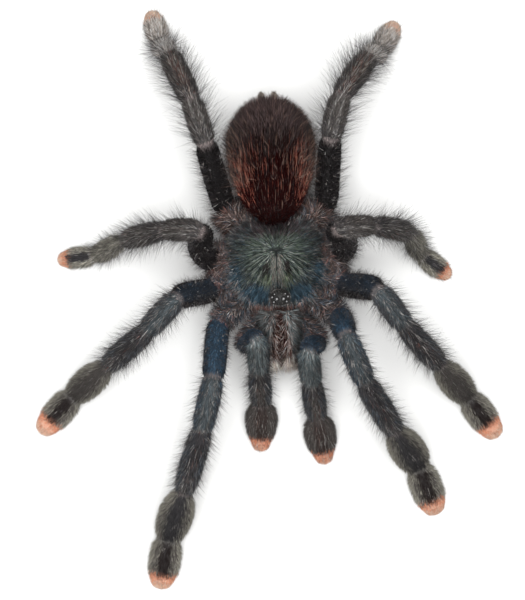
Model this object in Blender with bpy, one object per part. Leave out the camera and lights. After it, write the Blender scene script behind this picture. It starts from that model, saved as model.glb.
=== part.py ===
"""A tarantula specimen, dried and set with its legs spread.

Body, jaws, palps and eight legs are separate pieces. Sizes are in millimetres and become metres where
the meshes are made. +Z is up and z = 0 is the surface it rests on; the head points to -Y and the
animal's left side to +X. Each solid follows the outline of the dense hair coat.
"""

import math

import bmesh
import bpy
import numpy as np

MM = 0.001
BODY_AT = (3.0, 8.5)  # middle of the carapace, from the centre of the footprint

# Limbs: coxa, femur, patella, tibia, metatarsus and tarsus, in pairs 1 to 4 from the head; a palp, pair 0,
# has no metatarsus. LENGTH and GIRTH (half the width) go segment by segment.
LENGTH = {
    0: (9.8, 9.2, 8.8, 10.0, 10.0),
    1: (9.8, 13.5, 10.4, 14.2, 12.4, 10.4),
    2: (9.0, 12.9, 9.0, 13.0, 12.1, 10.1),
    3: (8.5, 13.2, 8.0, 11.2, 10.4, 7.6),
    4: (8.4, 15.6, 9.2, 11.4, 11.8, 7.2),
}
GIRTH = {
    0: (1.6, 2.1, 2.3, 2.3, 3.4),
    1: (2.2, 2.5, 2.4, 2.55, 3.7, 3.35),
    2: (2.2, 2.7, 2.45, 2.4, 3.15, 3.05),
    3: (2.2, 2.65, 2.35, 2.25, 2.2, 2.3),
    4: (2.2, 2.5, 2.4, 2.45, 2.45, 2.5),
}
FLATNESS = {"metatarsus": 0.74, "tarsus": 0.66}  # height over width, where a segment is a paddle
SWELL = {  # part of the segment's length, part of its girth
    "coxa": ((0.0, 0.62), (0.35, 0.84), (0.75, 1.0)),
    "femur": ((0.0, 0.86), (0.15, 0.97), (0.4, 1.0), (0.68, 1.0), (0.89, 0.92)),
    "patella": ((0.0, 0.7), (0.18, 0.94), (0.5, 1.0), (0.82, 0.94)),
    "tibia": ((0.0, 0.74), (0.15, 0.94), (0.45, 1.0), (0.74, 0.98), (0.91, 0.82)),
    "metatarsus": ((0.0, 0.48), (0.15, 0.68), (0.32, 0.92), (0.56, 1.0), (0.8, 0.93), (0.98, 0.74)),
    "tarsus": ((0.08, 0.76), (0.2, 0.94), (0.4, 1.0), (0.65, 0.95), (0.85, 0.72), (1.0, 0.34)),
}
PALP_FOOT = ((0.08, 0.72), (0.19, 0.89), (0.36, 1.0), (0.6, 0.94), (0.82, 0.69), (1.0, 0.34))
EASE = 3.4  # how far before and after a joint the limb bends
BASE = {  # where each pair starts beside the sternum: outward, rearward, up
    0: (2.2, -10.9, 5.4),
    1: (3.9, -8.1, 6.2),
    2: (4.4, -4.3, 6.2),
    3: (4.2, -0.7, 6.2),
    4: (3.3, 2.7, 6.2),
}
# The set of each limb: for every segment its heading in plan, in degrees from straight out to the side
# with + towards the rear, and the height of its far joint. BOW is how far the femur curves outwards.
POSE = {
    "pedipalp_right": ((-57, 7.6), (138, 16.0), (-90, 10.8), (-92, 2.9), (-86, 1.0)),
    "pedipalp_left": ((-55, 7.6), (-165, 16.4), (-86, 11.0), (-83, 3.6), (-83, 1.0)),
    "leg_right_1": ((-32, 7.5), (-83, 15.5), (-75, 15.0), (-70, 9.5), (-68, 2.2), (-78, 1.0)),
    "leg_left_1": ((-34, 7.5), (-82, 20.6), (-71, 19.2), (-61, 11.0), (-58, 2.2), (-72, 1.0)),
    "leg_right_2": ((-19, 7.5), (-7, 18.5), (-45, 17.5), (-38, 10.0), (-37, 2.2), (-45, 1.0)),
    "leg_left_2": ((-21, 7.5), (-9, 18.6), (-57, 18.1), (-50, 10.5), (-50, 2.2), (-56, 1.0)),
    "leg_right_3": ((-8, 7.5), (79, 19.0), (4, 17.4), (-10, 9.9), (-24, 1.8), (-3, 0.7)),
    "leg_left_3": ((-6, 7.5), (105, 19.6), (2, 19.3), (-13, 11.2), (-66, 1.8), (-40, 0.7)),
    "leg_right_4": ((41, 7.5), (77, 15.5), (75, 17.2), (67, 13.3), (55, 1.8), (76, 0.7)),
    "leg_left_4": ((33, 7.5), (84, 14.6), (74, 18.3), (52, 13.4), (24, 1.8), (56, 0.7)),
}
BOW = {"leg_right_3": 2.2, "leg_left_3": 2.2}
LIMB_SIDES = 12
EASE_SAMPLES = 17
SLOPE_STEP = 0.2  # each way along a limb, to find which way it runs

# Cephalothorax: the rim's distance from its middle by the angle from the head, in degrees
RIM = ((0, 11.2), (22, 11.9), (34, 11.8), (50, 11.2), (67, 10.4), (84, 9.9), (103, 9.7), (120, 9.4),
       (140, 8.2), (160, 6.5), (180, 5.5))
RIM_HEIGHT = 10.1
ROOF_THICKNESS = 0.5  # of the rim, above the coxae
UNDERCUT = 0.97  # of the rim's outline, along its lower edge
SHELL_RINGS = (1.0, 0.94, 0.84, 0.7, 0.54, 0.38, 0.22, 0.08)  # parts of the way out to the rim
DOME = 3.2  # rise of the carapace above its rim
HEAD_RISE = 1.3  # and of the head region above that
HEAD_AT, HEAD_SIZE = -6.6, (4.6, 5.2)
FOVEA_DEPTH, FOVEA_SIZE = 0.5, (1.4, 0.7)
STERNUM = (-3.1, 2.3, 5.9)  # centre along Y, half width, half length
STERNUM_BOTTOM = 3.9
STERNUM_EDGE = 0.8  # how much its lower edge is rounded in, and how high that goes
CARAPACE_SIDES = 36
MOUND_AT, MOUND_SIZE = (0.3, -9.3, 13.3), (1.9, 1.6, 1.5)
EYES = ((0.62, -0.15, 0.42), (1.25, -0.75, 0.26), (1.35, 0.25, 0.26), (0.85, 0.75, 0.22))

# Abdomen: along Y, half width, centre height, half height
ABDOMEN = (
    (3.2, 1.1, 7.9, 1.1), (5.9, 1.1, 7.9, 1.1), (6.7, 3.1, 9.2, 2.9), (8.4, 5.2, 10.0, 4.9),
    (10.4, 6.7, 10.7, 6.5), (13.0, 7.9, 11.2, 7.8), (16.0, 8.6, 11.5, 8.5), (19.4, 8.9, 11.6, 8.7),
    (22.6, 8.6, 11.5, 8.2), (25.2, 7.4, 11.2, 7.1), (27.2, 5.8, 10.8, 5.5), (28.6, 3.9, 10.3, 3.8),
    (29.4, 2.2, 9.8, 2.2),
)
ABDOMEN_SIDES = 20

# Jaws: along the chelicera's middle, then half width and half height there
CHELICERA_AT = 1.62
CHELICERA = (
    (-11.8, 9.9, 1.1, 1.9), (-12.6, 9.8, 1.35, 2.4), (-14.6, 9.4, 1.45, 2.9), (-17.0, 8.7, 1.45, 3.2),
    (-19.2, 7.8, 1.4, 3.1), (-20.8, 7.0, 1.25, 2.6), (-21.7, 6.4, 0.8, 1.5),
)
FANG = ((-20.0, 4.1, 0.75), (-19.9, 3.3, 0.7), (-19.2, 2.3, 0.6), (-17.7, 1.7, 0.45), (-15.9, 1.8, 0.15))
SPINNERET = ((0.0, 0.0, 0.7), (0.8, 0.1, 0.75), (1.5, 0.4, 0.6), (2.1, 0.8, 0.3))  # back, up, radius
SPINNERET_AT = (1.25, 28.8, 5.9)

COLOURS = {
    "cephalothorax": (0.045, 0.065, 0.060),
    "abdomen": (0.030, 0.018, 0.017),
    "chelicera": (0.10, 0.055, 0.050),
    "fang": (0.012, 0.008, 0.008),
    "spinneret": (0.030, 0.020, 0.020),
    "pedipalp": (0.025, 0.035, 0.050),
    "leg": (0.022, 0.026, 0.034),
}


def material(name, colour):
    found = bpy.data.materials.get(name)
    if found:
        return found
    made = bpy.data.materials.new(name)
    made.use_nodes = True
    shader = made.node_tree.nodes["Principled BSDF"]
    shader.inputs["Base Color"].default_value = (*colour, 1.0)
    shader.inputs["Roughness"].default_value = 0.7
    shader.inputs["Metallic"].default_value = 0.0
    return made


def add_object(name, mesh_builder, kind, root):
    """An object from a filled bmesh, in metres, with the material of its kind."""
    bmesh.ops.recalc_face_normals(mesh_builder, faces=mesh_builder.faces)
    bmesh.ops.scale(mesh_builder, vec=(MM, MM, MM), verts=mesh_builder.verts)
    mesh = bpy.data.meshes.new(name)
    mesh_builder.to_mesh(mesh)
    mesh_builder.free()
    mesh.shade_smooth()
    mesh.materials.append(material(kind, COLOURS[kind]))
    made = bpy.data.objects.new(name, mesh)
    bpy.context.scene.collection.objects.link(made)
    made.parent = root
    return made


def loft(rings):
    """A closed skin over rings of as many points each, flat at both ends."""
    skin = bmesh.new()
    loops = [[skin.verts.new(point) for point in ring] for ring in rings]
    for near, far in zip(loops, loops[1:]):
        for k in range(len(near)):
            n = (k + 1) % len(near)
            skin.faces.new((near[k], near[n], far[n], far[k]))
    skin.faces.new(loops[0])
    skin.faces.new(loops[-1])
    return skin


def oval(centre, across, up, half_width, half_height, sides):
    turns = [2 * math.pi * k / sides for k in range(sides)]
    return [
        centre + across * half_width * math.cos(t) + up * half_height * math.sin(t) for t in turns
    ]


def joints(pair, side, pose, bow):
    """The corner points of a limb, and which of them are its joints."""
    outward, rearward, height = BASE[pair]
    points = [np.array((side * outward, rearward, height))]
    for length, (heading, far_height) in zip(LENGTH[pair], pose):
        rise = far_height - points[-1][2]
        reach = math.sqrt(length**2 - rise**2)
        turn = math.radians(heading)
        step = (side * reach * math.cos(turn), reach * math.sin(turn), rise)
        points.append(points[-1] + np.array(step))
    marks = list(range(len(points)))
    if bow:
        middle = (points[1] + points[2]) / 2 + np.array((side * bow, 0.0, 0.0))
        points.insert(2, middle)
        marks = [0, 1] + [m + 1 for m in marks[2:]]
    return np.array(points), marks


def smooth_point(corners, travel, s):
    """The chain of corners eased round its bends: the mean of the stretch around s."""
    reach = min(EASE, s, travel[-1] - s)
    stretch = s + reach * np.linspace(-1.0, 1.0, EASE_SAMPLES)
    return np.array([np.interp(stretch, travel, column).mean() for column in corners.T])


def limb_rings(pair, side, pose, bow):
    corners, marks = joints(pair, side, pose, bow)
    steps = np.linalg.norm(np.diff(corners, axis=0), axis=1)
    travel = np.concatenate(([0.0], np.cumsum(steps)))
    names = [name for name in SWELL if pair or name != "metatarsus"]
    stations = []
    for number, name in enumerate(names):
        start, end = travel[marks[number]], travel[marks[number + 1]]
        girth = GIRTH[pair][number]
        flat = FLATNESS.get(name, 1.0)
        palp_foot = not pair and name == "tarsus"
        for part, swell in PALP_FOOT if palp_foot else SWELL[name]:
            width = girth * swell
            stations.append((start + part * (end - start), width, width * flat))
    rings = []
    across = None
    for s, width, height in reversed(stations):
        centre = smooth_point(corners, travel, s)
        ahead = smooth_point(corners, travel, min(s + SLOPE_STEP, travel[-1]))
        behind = smooth_point(corners, travel, max(s - SLOPE_STEP, 0.0))
        along = (ahead - behind) / np.linalg.norm(ahead - behind)
        if across is None:
            across = np.cross(along, (0.0, 0.0, 1.0))
        across = across - along * across.dot(along)
        across = across / np.linalg.norm(across)
        up = np.cross(across, along)
        ring = oval(centre, across, up, width, height, LIMB_SIDES)
        rings.append([(x, y, max(z, 0.0)) for x, y, z in ring])
    return rings


def add_limb(name, pose, root):
    kind, side_name, *number = name.split("_")
    pair = int(number[0]) if number else 0
    side = 1 if side_name == "left" else -1
    rings = limb_rings(pair, side, pose, BOW.get(name, 0.0))
    add_object(name, loft(rings), kind, root)


def rim_radius(turn):
    """Distance of the carapace's rim from its middle; turn is from the head, either way round."""
    angles, radii = zip(*RIM)
    degrees = math.degrees(abs(math.remainder(turn, 2 * math.pi)))
    return float(np.interp(degrees, angles, radii))


def carapace_height(x, y, part):
    """Height of the carapace at x, y, which is this part of the way out to its rim."""
    dome = DOME * (1.0 - part**2.6)
    aside, ahead = x / HEAD_SIZE[0], (y - HEAD_AT) / HEAD_SIZE[1]
    head = HEAD_RISE * math.exp(-(aside**2) - ahead**2) * (1.0 - part**6)
    fovea = FOVEA_DEPTH * math.exp(-((x / FOVEA_SIZE[0]) ** 2) - (y / FOVEA_SIZE[1]) ** 2)
    return RIM_HEIGHT + dome + head - fovea


def carapace_ring(part):
    ring = []
    for k in range(CARAPACE_SIDES):
        turn = 2 * math.pi * k / CARAPACE_SIDES
        radius = rim_radius(turn) * part
        x, y = radius * math.sin(turn), -radius * math.cos(turn)
        ring.append((x, y, carapace_height(x, y, part)))
    return ring


def sternum_ring(height, part=1.0):
    centre, half_width, half_length = STERNUM
    ring = []
    for k in range(CARAPACE_SIDES):
        turn = 2 * math.pi * k / CARAPACE_SIDES
        x = half_width * part * math.sin(turn)
        ring.append((x, centre - half_length * part * math.cos(turn), height))
    return ring


def fuse(target, name, size, at, root, divisions=2):
    """Joins a rounded bump to a piece; the ball that shapes it is only a guide."""
    ball = bmesh.new()
    bmesh.ops.create_icosphere(ball, subdivisions=divisions, radius=1.0)
    bmesh.ops.scale(ball, vec=size, verts=ball.verts)
    bmesh.ops.translate(ball, vec=at, verts=ball.verts)
    guide = add_object(name, ball, "cephalothorax", root)
    guide.hide_render = True
    guide.display_type = "WIRE"
    union = target.modifiers.new(name, "BOOLEAN")
    union.operation = "UNION"
    union.object = guide


def add_cephalothorax(root):
    underside = [
        sternum_ring(STERNUM_BOTTOM, 1.0 - STERNUM_EDGE / STERNUM[2]),
        sternum_ring(STERNUM_BOTTOM + STERNUM_EDGE),
        sternum_ring(RIM_HEIGHT - ROOF_THICKNESS),
    ]
    rim = [(x, y, RIM_HEIGHT - ROOF_THICKNESS) for x, y, _ in carapace_ring(UNDERCUT)]
    shell = [carapace_ring(part) for part in SHELL_RINGS]
    body = add_object("cephalothorax", loft([*underside, rim, *shell]), "cephalothorax", root)
    fuse(body, "eye_mound", MOUND_SIZE, MOUND_AT, root)
    for side in (-1, 1):
        for number, (across, along, radius) in enumerate(EYES):
            size = (radius, radius, radius)
            lift = MOUND_SIZE[2] * math.sqrt(
                max(0.0, 1.0 - (across / MOUND_SIZE[0]) ** 2 - (along / MOUND_SIZE[1]) ** 2)
            )
            at = (MOUND_AT[0] + side * across, MOUND_AT[1] + along, MOUND_AT[2] + lift)
            fuse(body, f"eye_{number}_{side}", size, at, root, divisions=1)


def add_abdomen(root):
    across, up = np.array((1.0, 0.0, 0.0)), np.array((0.0, 0.0, 1.0))
    rings = [
        oval(np.array((0.0, y, z)), across, up, width, height, ABDOMEN_SIDES)
        for y, width, z, height in ABDOMEN
    ]
    add_object("abdomen", loft(rings), "abdomen", root)


def add_jaw(side_name, side, root):
    across, up = np.array((1.0, 0.0, 0.0)), np.array((0.0, 0.0, 1.0))
    rings = [
        oval(np.array((side * CHELICERA_AT, y, z)), across, up, width, height, LIMB_SIDES)
        for y, z, width, height in CHELICERA
    ]
    add_object(f"chelicera_{side_name}", loft(rings), "chelicera", root)
    line = np.array([(side * CHELICERA_AT, y, z) for y, z, _ in FANG])
    ahead = np.gradient(line, axis=0)
    rings = []
    for centre, along, (_, _, radius) in zip(line, ahead, FANG):
        up = np.cross(across, along / np.linalg.norm(along))
        rings.append(oval(centre, across, up, radius, radius, 8))
    add_object(f"fang_{side_name}", loft(rings), "fang", root)


def add_spinneret(side_name, side, root):
    across, up = np.array((1.0, 0.0, 0.0)), np.array((0.0, 0.0, 1.0))
    x, y, z = SPINNERET_AT
    rings = [
        oval(np.array((side * x, y + back, z + rise)), across, up, radius, radius, 8)
        for back, rise, radius in SPINNERET
    ]
    add_object(f"spinneret_{side_name}", loft(rings), "spinneret", root)


def main():
    for old in list(bpy.data.objects):
        bpy.data.objects.remove(old)
    root = bpy.data.objects.new("specimen", None)
    root.location = (BODY_AT[0] * MM, BODY_AT[1] * MM, 0.0)
    bpy.context.scene.collection.objects.link(root)
    add_cephalothorax(root)
    add_abdomen(root)
    for side_name, side in (("left", 1), ("right", -1)):
        add_jaw(side_name, side, root)
        add_spinneret(side_name, side, root)
    for name, pose in POSE.items():
        add_limb(name, pose, root)


main()
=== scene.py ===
import math

import bpy
import numpy as np
from bpy.props import FloatProperty, FloatVectorProperty, IntProperty, PointerProperty
from bpy.types import Operator, Panel, PropertyGroup
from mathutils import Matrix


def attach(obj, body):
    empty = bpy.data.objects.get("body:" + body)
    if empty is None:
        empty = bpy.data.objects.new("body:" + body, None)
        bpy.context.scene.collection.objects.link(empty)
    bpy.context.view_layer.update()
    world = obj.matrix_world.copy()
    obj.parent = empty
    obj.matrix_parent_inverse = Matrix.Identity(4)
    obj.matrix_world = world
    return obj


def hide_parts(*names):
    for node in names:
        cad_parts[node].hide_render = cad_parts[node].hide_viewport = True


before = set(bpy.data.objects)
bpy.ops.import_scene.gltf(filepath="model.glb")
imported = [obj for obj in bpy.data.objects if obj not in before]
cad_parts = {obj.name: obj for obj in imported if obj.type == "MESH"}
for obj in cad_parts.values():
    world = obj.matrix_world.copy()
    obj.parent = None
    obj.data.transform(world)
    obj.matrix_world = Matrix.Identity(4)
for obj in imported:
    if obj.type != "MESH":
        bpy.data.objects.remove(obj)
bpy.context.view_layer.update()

bl_info = {
    "name": "Tarantula specimen",
    "version": (1, 0, 0),
    "blender": (4, 5, 0),
    "location": "3D View > Sidebar > Tarantula",
    "description": "Dresses the solids of a dried tarantula in skin, hair coat and bristles",
    "category": "Add Mesh",
}

# Sizes below are in millimetres, with the head towards -Y and the animal's left at +X. Meshes are made in
# metres. The limbs, the jaws and the abdomen repeat the driving dimensions of the solids they cover.
MM = 0.001
BODY_AT = np.array((3.0, 8.5, 0.0))
UP = np.array((0.0, 0.0, 1.0))
FLOOR_GAP = 0.03  # no hair reaches lower
NUDGE = 0.02  # step for reading the slope of a skin
QUARTER = math.pi / 2
SIDES = (("left", 1), ("right", -1))

SEGMENTS = ("coxa", "femur", "patella", "tibia", "metatarsus", "tarsus")
# Segments of the palps (0), which have no metatarsus, and of each pair of legs: length, and half the
# width at the widest place
LENGTH = {
    0: (9.8, 9.2, 8.8, 10.0, 10.0),
    1: (9.8, 13.5, 10.4, 14.2, 12.4, 10.4),
    2: (9.0, 12.9, 9.0, 13.0, 12.1, 10.1),
    3: (8.5, 13.2, 8.0, 11.2, 10.4, 7.6),
    4: (8.4, 15.6, 9.2, 11.4, 11.8, 7.2),
}
GIRTH = {
    0: (1.6, 2.1, 2.3, 2.3, 3.4),
    1: (2.2, 2.5, 2.4, 2.55, 3.7, 3.35),
    2: (2.2, 2.7, 2.45, 2.4, 3.15, 3.05),
    3: (2.2, 2.65, 2.35, 2.25, 2.2, 2.3),
    4: (2.2, 2.5, 2.4, 2.45, 2.45, 2.5),
}
FLATNESS = {"metatarsus": 0.74, "tarsus": 0.66}  # height as a part of the width
# How a segment swells: part of the way along it, and part of its girth there
SWELL = {
    "coxa": ((0.0, 0.62), (0.35, 0.84), (0.75, 1.0)),
    "femur": ((0.0, 0.86), (0.15, 0.97), (0.4, 1.0), (0.68, 1.0), (0.92, 0.95)),
    "patella": ((0.0, 0.82), (0.14, 0.94), (0.5, 1.0), (0.86, 0.94)),
    "tibia": ((0.0, 0.82), (0.15, 0.94), (0.45, 1.0), (0.74, 0.98), (0.93, 0.84)),
    "metatarsus": ((0.0, 0.48), (0.15, 0.68), (0.32, 0.92), (0.56, 1.0), (0.8, 0.93), (0.98, 0.74)),
    "tarsus": ((0.08, 0.76), (0.2, 0.94), (0.4, 1.0), (0.62, 0.97), (0.8, 0.86), (0.92, 0.71), (1.0, 0.6)),
}
PALP_FOOT = ((0.08, 0.7), (0.19, 0.88), (0.36, 1.0), (0.6, 0.88), (0.8, 0.66), (0.92, 0.56), (1.0, 0.5))
EASE = 3.4  # a limb's line is the mean of this much of the chain of its joints, to each side
EASE_SAMPLES = 17
LIMB_STEP = 0.25
# Half the stretch over which each table's widths are averaged: millimetres, or parts of the jaw and fang
LIMB_SOFTENED, ABDOMEN_SOFTENED, JAW_SOFTENED, FANG_SOFTENED = 0.5, 0.9, 0.06, 0.08
# Where each pair of limbs begins: outward, rearward and up
BASE = {
    0: (2.2, -10.9, 5.4),
    1: (3.9, -8.1, 6.2),
    2: (4.4, -4.3, 6.2),
    3: (4.2, -0.7, 6.2),
    4: (3.3, 2.7, 6.2),
}
# Each segment's heading seen from above, in degrees with 0 outward and 90 rearward, and its far end's
# height
POSE = {
    "pedipalp_right": ((-57, 7.6), (138, 16.0), (-90, 10.8), (-92, 2.9), (-86, 1.0)),
    "pedipalp_left": ((-55, 7.6), (-165, 16.4), (-86, 11.0), (-83, 3.6), (-83, 1.0)),
    "leg_right_1": ((-32, 7.5), (-83, 15.5), (-75, 15.0), (-70, 9.5), (-68, 2.2), (-78, 1.0)),
    "leg_left_1": ((-34, 7.5), (-82, 20.6), (-71, 19.2), (-61, 11.0), (-58, 2.2), (-72, 1.0)),
    "leg_right_2": ((-19, 7.5), (-7, 18.5), (-45, 17.5), (-38, 10.0), (-37, 2.2), (-45, 1.0)),
    "leg_left_2": ((-21, 7.5), (-9, 18.6), (-57, 18.1), (-50, 10.5), (-50, 2.2), (-56, 1.0)),
    "leg_right_3": ((-8, 7.5), (79, 19.0), (4, 17.4), (-10, 9.9), (-24, 1.8), (-3, 0.7)),
    "leg_left_3": ((-6, 7.5), (105, 19.6), (2, 19.3), (-13, 11.2), (-66, 1.8), (-40, 0.7)),
    "leg_right_4": ((41, 7.5), (77, 15.5), (75, 17.2), (67, 13.3), (55, 1.8), (76, 0.7)),
    "leg_left_4": ((33, 7.5), (84, 14.6), (74, 18.3), (52, 13.4), (24, 1.8), (56, 0.7)),
}
BOW = {"leg_right_3": 2.2, "leg_left_3": 2.2}  # how far outward the femur bows

# The carapace's rim: degrees from the head, and radius
RIM = ((0, 11.2), (22, 11.9), (34, 11.8), (50, 11.2), (67, 10.4), (84, 9.9), (103, 9.7), (120, 9.4),
       (140, 8.2), (160, 6.5), (180, 5.5))
RIM_HEIGHT = 10.1
ROOF_THICKNESS = 0.5
DOME = 3.2
HEAD_RISE = 1.3
HEAD_AT, HEAD_SIZE = -6.6, (4.6, 5.2)
FOVEA_DEPTH = 0.9
STERNUM = (-3.1, 2.3, 5.9)  # rearward place of its middle, half its width and half its length
STERNUM_BOTTOM = 3.9
# Rings below the carapace, down to the sternum's middle: height, and part of the sternum's size
STERNUM_RINGS = (
    (RIM_HEIGHT - ROOF_THICKNESS, 0.95), (STERNUM_BOTTOM + 1.0, 0.95), (STERNUM_BOTTOM + 0.3, 0.85),
    (STERNUM_BOTTOM + 0.1, 0.5),
)
MOUND_AT, MOUND_SIZE = (0.3, -9.3, 13.3), (2.1, 1.65, 1.5)
# The eyes of one side: outward and rearward from the mound's middle, and radius
EYES = ((0.66, -0.3, 0.52), (1.25, -0.85, 0.34), (1.55, 0.1, 0.36), (1.05, 0.65, 0.28))
# Grooves that run out from the pit: degrees from the head, half width in degrees, and strength
GROOVES = ((33, 6.5, 1.0), (60, 5.0, 0.75), (86, 5.0, 0.7), (112, 6.0, 0.55), (138, 6.0, 0.4))
GROOVE_DEPTH = 0.32
STREAK = 9.5  # degrees from one pale streak of the carapace to the next

# Rings from front to rear: rearward place, half width, height of the middle, and half height
ABDOMEN = (
    (3.2, 1.1, 7.9, 1.1), (5.9, 1.1, 7.9, 1.1), (6.7, 3.1, 9.2, 2.9), (8.4, 5.2, 10.0, 4.9),
    (10.4, 6.7, 10.7, 6.5), (13.0, 7.9, 11.2, 7.8), (16.0, 8.6, 11.5, 8.5), (19.4, 8.9, 11.6, 8.7),
    (22.6, 8.6, 11.5, 8.2), (25.2, 7.4, 11.2, 7.1), (27.2, 5.8, 10.8, 5.5), (28.6, 3.9, 10.3, 3.8),
    (29.4, 2.2, 9.8, 2.2),
)
CHELICERA_AT = 1.62  # how far outward each jaw and fang is
# Rings: rearward place, height of the middle, then half width and half height of the jaw, or radius
CHELICERA = (
    (-11.8, 9.9, 1.1, 1.9), (-12.6, 9.8, 1.35, 2.4), (-14.6, 9.4, 1.45, 2.9), (-17.0, 8.7, 1.45, 3.2),
    (-19.2, 7.8, 1.4, 3.1), (-20.8, 7.0, 1.25, 2.6), (-21.7, 6.4, 0.8, 1.5),
)
FANG = ((-20.0, 4.1, 0.75), (-19.9, 3.3, 0.7), (-19.2, 2.3, 0.6), (-17.7, 1.7, 0.45), (-15.9, 1.8, 0.15))
# Rings: rearward and up from the root's place, and radius. The first four are inside the abdomen
SPINNERET = (
    (-3.4, 2.2, 1.5), (-2.4, 1.5, 1.45), (-1.5, 0.8, 1.3), (-0.7, 0.3, 1.1), (0.2, 0.1, 0.95),
    (1.0, 0.3, 0.85), (1.6, 0.5, 0.75), (2.1, 0.7, 0.5),
)
SPINNERET_AT = (1.25, 28.8, 5.9)

# The skin is this part of the solid's width: the solid follows the outline of the hair
LIMB_SKIN = {"coxa": 0.78, "femur": 0.86, "patella": 0.82, "tibia": 0.78, "metatarsus": 0.78, "tarsus": 0.8}
BRUSH_SKIN = 0.86  # metatarsus and tarsus of the palps and the first two pairs, which are flat brushes
BRUSH_PAIRS = (0, 1, 2)
PINCH = (0.02, 0.03, 0.05, 0.12, 0.08)  # how much narrower the limb is at each joint
PINCH_REACH = 0.7
ROUND_END = 1.7  # the tarsus rounds off over this length
ROUND_SHAPE = (2.6, 0.45)  # how full the rounded end is: powers of the way along it and of the width
ABDOMEN_SKIN, JAW_SKIN, SPINNERET_SKIN = 0.9, 0.74, 0.6
REAR_FROM, REAR_SHORTER = 18.0, 0.12  # the hair makes up the rest of the abdomen's length
CARAPACE_SKIN, VELVET_DEPTH = 0.98, 0.22

# Colours of the coat of each pair of limbs, segment by segment: back, flanks and belly
COAT = {
    0: (("umber", "umber", "belly"), ("midnight", "midnight", "black"), ("storm", "storm", "belly"),
        ("charcoal", "slate_dark", "belly"), ("umber", "charcoal", "olive")),
    1: (("umber", "umber", "belly"), ("blue", "midnight", "black"), ("slate", "slate_blue", "belly"),
        ("soot", "slate_dark", "belly"), ("soot", "olive", "olive"), ("umber_dark", "olive", "olive")),
    2: (("umber", "umber", "belly"), ("midnight", "black", "black"), ("slate", "slate_dark", "belly"),
        ("soot", "slate_dark", "belly"), ("charcoal", "olive", "olive"), ("umber_dark", "olive", "olive")),
    3: (("umber", "umber", "belly"), ("black", "black", "black"), ("charcoal", "charcoal", "belly"),
        ("charcoal", "charcoal", "belly"), ("olive", "olive", "belly"), ("soot", "olive", "olive")),
    4: (("umber", "umber", "belly"), ("black", "black", "black"), ("charcoal", "charcoal", "belly"),
        ("charcoal", "charcoal", "belly"), ("mist", "mist", "belly"), ("mist", "mist", "olive")),
}
# Colours over that coat, laid in this order: colour, segments, where on them, and how much on the palps
# and on each pair of legs
LIMB_PAINT = (
    ("charcoal", ("metatarsus", "tarsus"), "beside_stripe", (0.85, 0.85, 0.85, 0.0, 0.0)),
    ("stripe", ("patella",), "twin_stripes", (0.25, 0.25, 0.25, 0.7, 0.7)),
    ("blue", ("femur",), "all", (0.4, 0.0, 0.0, 0.0, 0.0)),
    ("stripe", ("tibia",), "all", (0.0, 0.0, 0.0, 0.3, 0.0)),
    ("taupe", ("tibia",), "back", (0.0, 0.0, 0.0, 0.0, 0.42)),
    ("rust", ("tibia",), "back", (0.03, 0.03, 0.03, 0.03, 0.3)),
    ("blue", ("patella", "tibia"), "off_back", (0.12, 0.12, 0.0, 0.0, 0.0)),
    ("fawn", ("coxa",), "all", (0.15,) * 5),
    ("rust", ("coxa",), "all", (0.05,) * 5),
    ("slate_blue", ("coxa",), "all", (0.38, 0.38, 0.38, 0.12, 0.12)),
    ("pale", SEGMENTS, "scattered", (1.0,) * 5),
    ("taupe", ("tarsus",), "all", (0.0, 0.0, 0.0, 0.0, 0.4)),
    ("soot", ("patella",), "first_half", (0.0, 0.0, 0.0, 0.5, 0.5)),
    ("soot", ("tibia",), "first_third", (0.55,) * 5),
    ("stripe", ("tibia",), "last_third", (0.3,) * 5),
)
PALE_EVERYWHERE = 0.006
PALE_ON_BACK = (0.01, 0.01, 0.01, 0.03, 0.03)  # more pale hairs on the backs of patella and tibia
# Bands over the joints: colour, joint counted from the coxa's end, how far past it, where the band
# begins to fade and where it ends, and how much on the palps and on each pair of legs
JOINT_BANDS = (
    ("ring", 0, 0.2, (0.5, 1.0), (0.2,) * 5),
    ("rust", 0, 0.2, (0.5, 1.0), (0.25,) * 5),
    ("ring", 1, 0.0, (0.25, 0.6), (0.2, 0.5, 0.5, 0.8, 0.8)),
    ("stripe", 2, 0.0, (0.2, 0.5), (0.45,) * 5),
    ("ring", 3, 0.0, (0.2, 0.6), (0.4, 0.4, 0.4, 0.75, 0.75)),
    ("ring", 2, 0.0, (0.2, 0.6), (0.0, 0.0, 0.0, 0.5, 0.5)),
    ("stripe", 4, 0.1, (0.2, 0.6), (0.0, 0.6, 0.6, 0.0, 0.0)),
    ("mist", 4, 0.1, (0.2, 0.6), (0.0, 0.0, 0.0, 0.6, 0.6)),
)
TUFT_SALMON, TUFT_RUST = (1.0, 1.0, 1.0, 1.0, 0.5), (0.15, 0.0, 0.0, 0.0, 0.0)
TUFT_PEACH, TUFT_MIST = (0.4, 0.75, 0.75, 0.75, 0.75), (0.0, 0.0, 0.0, 0.0, 0.4)
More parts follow.
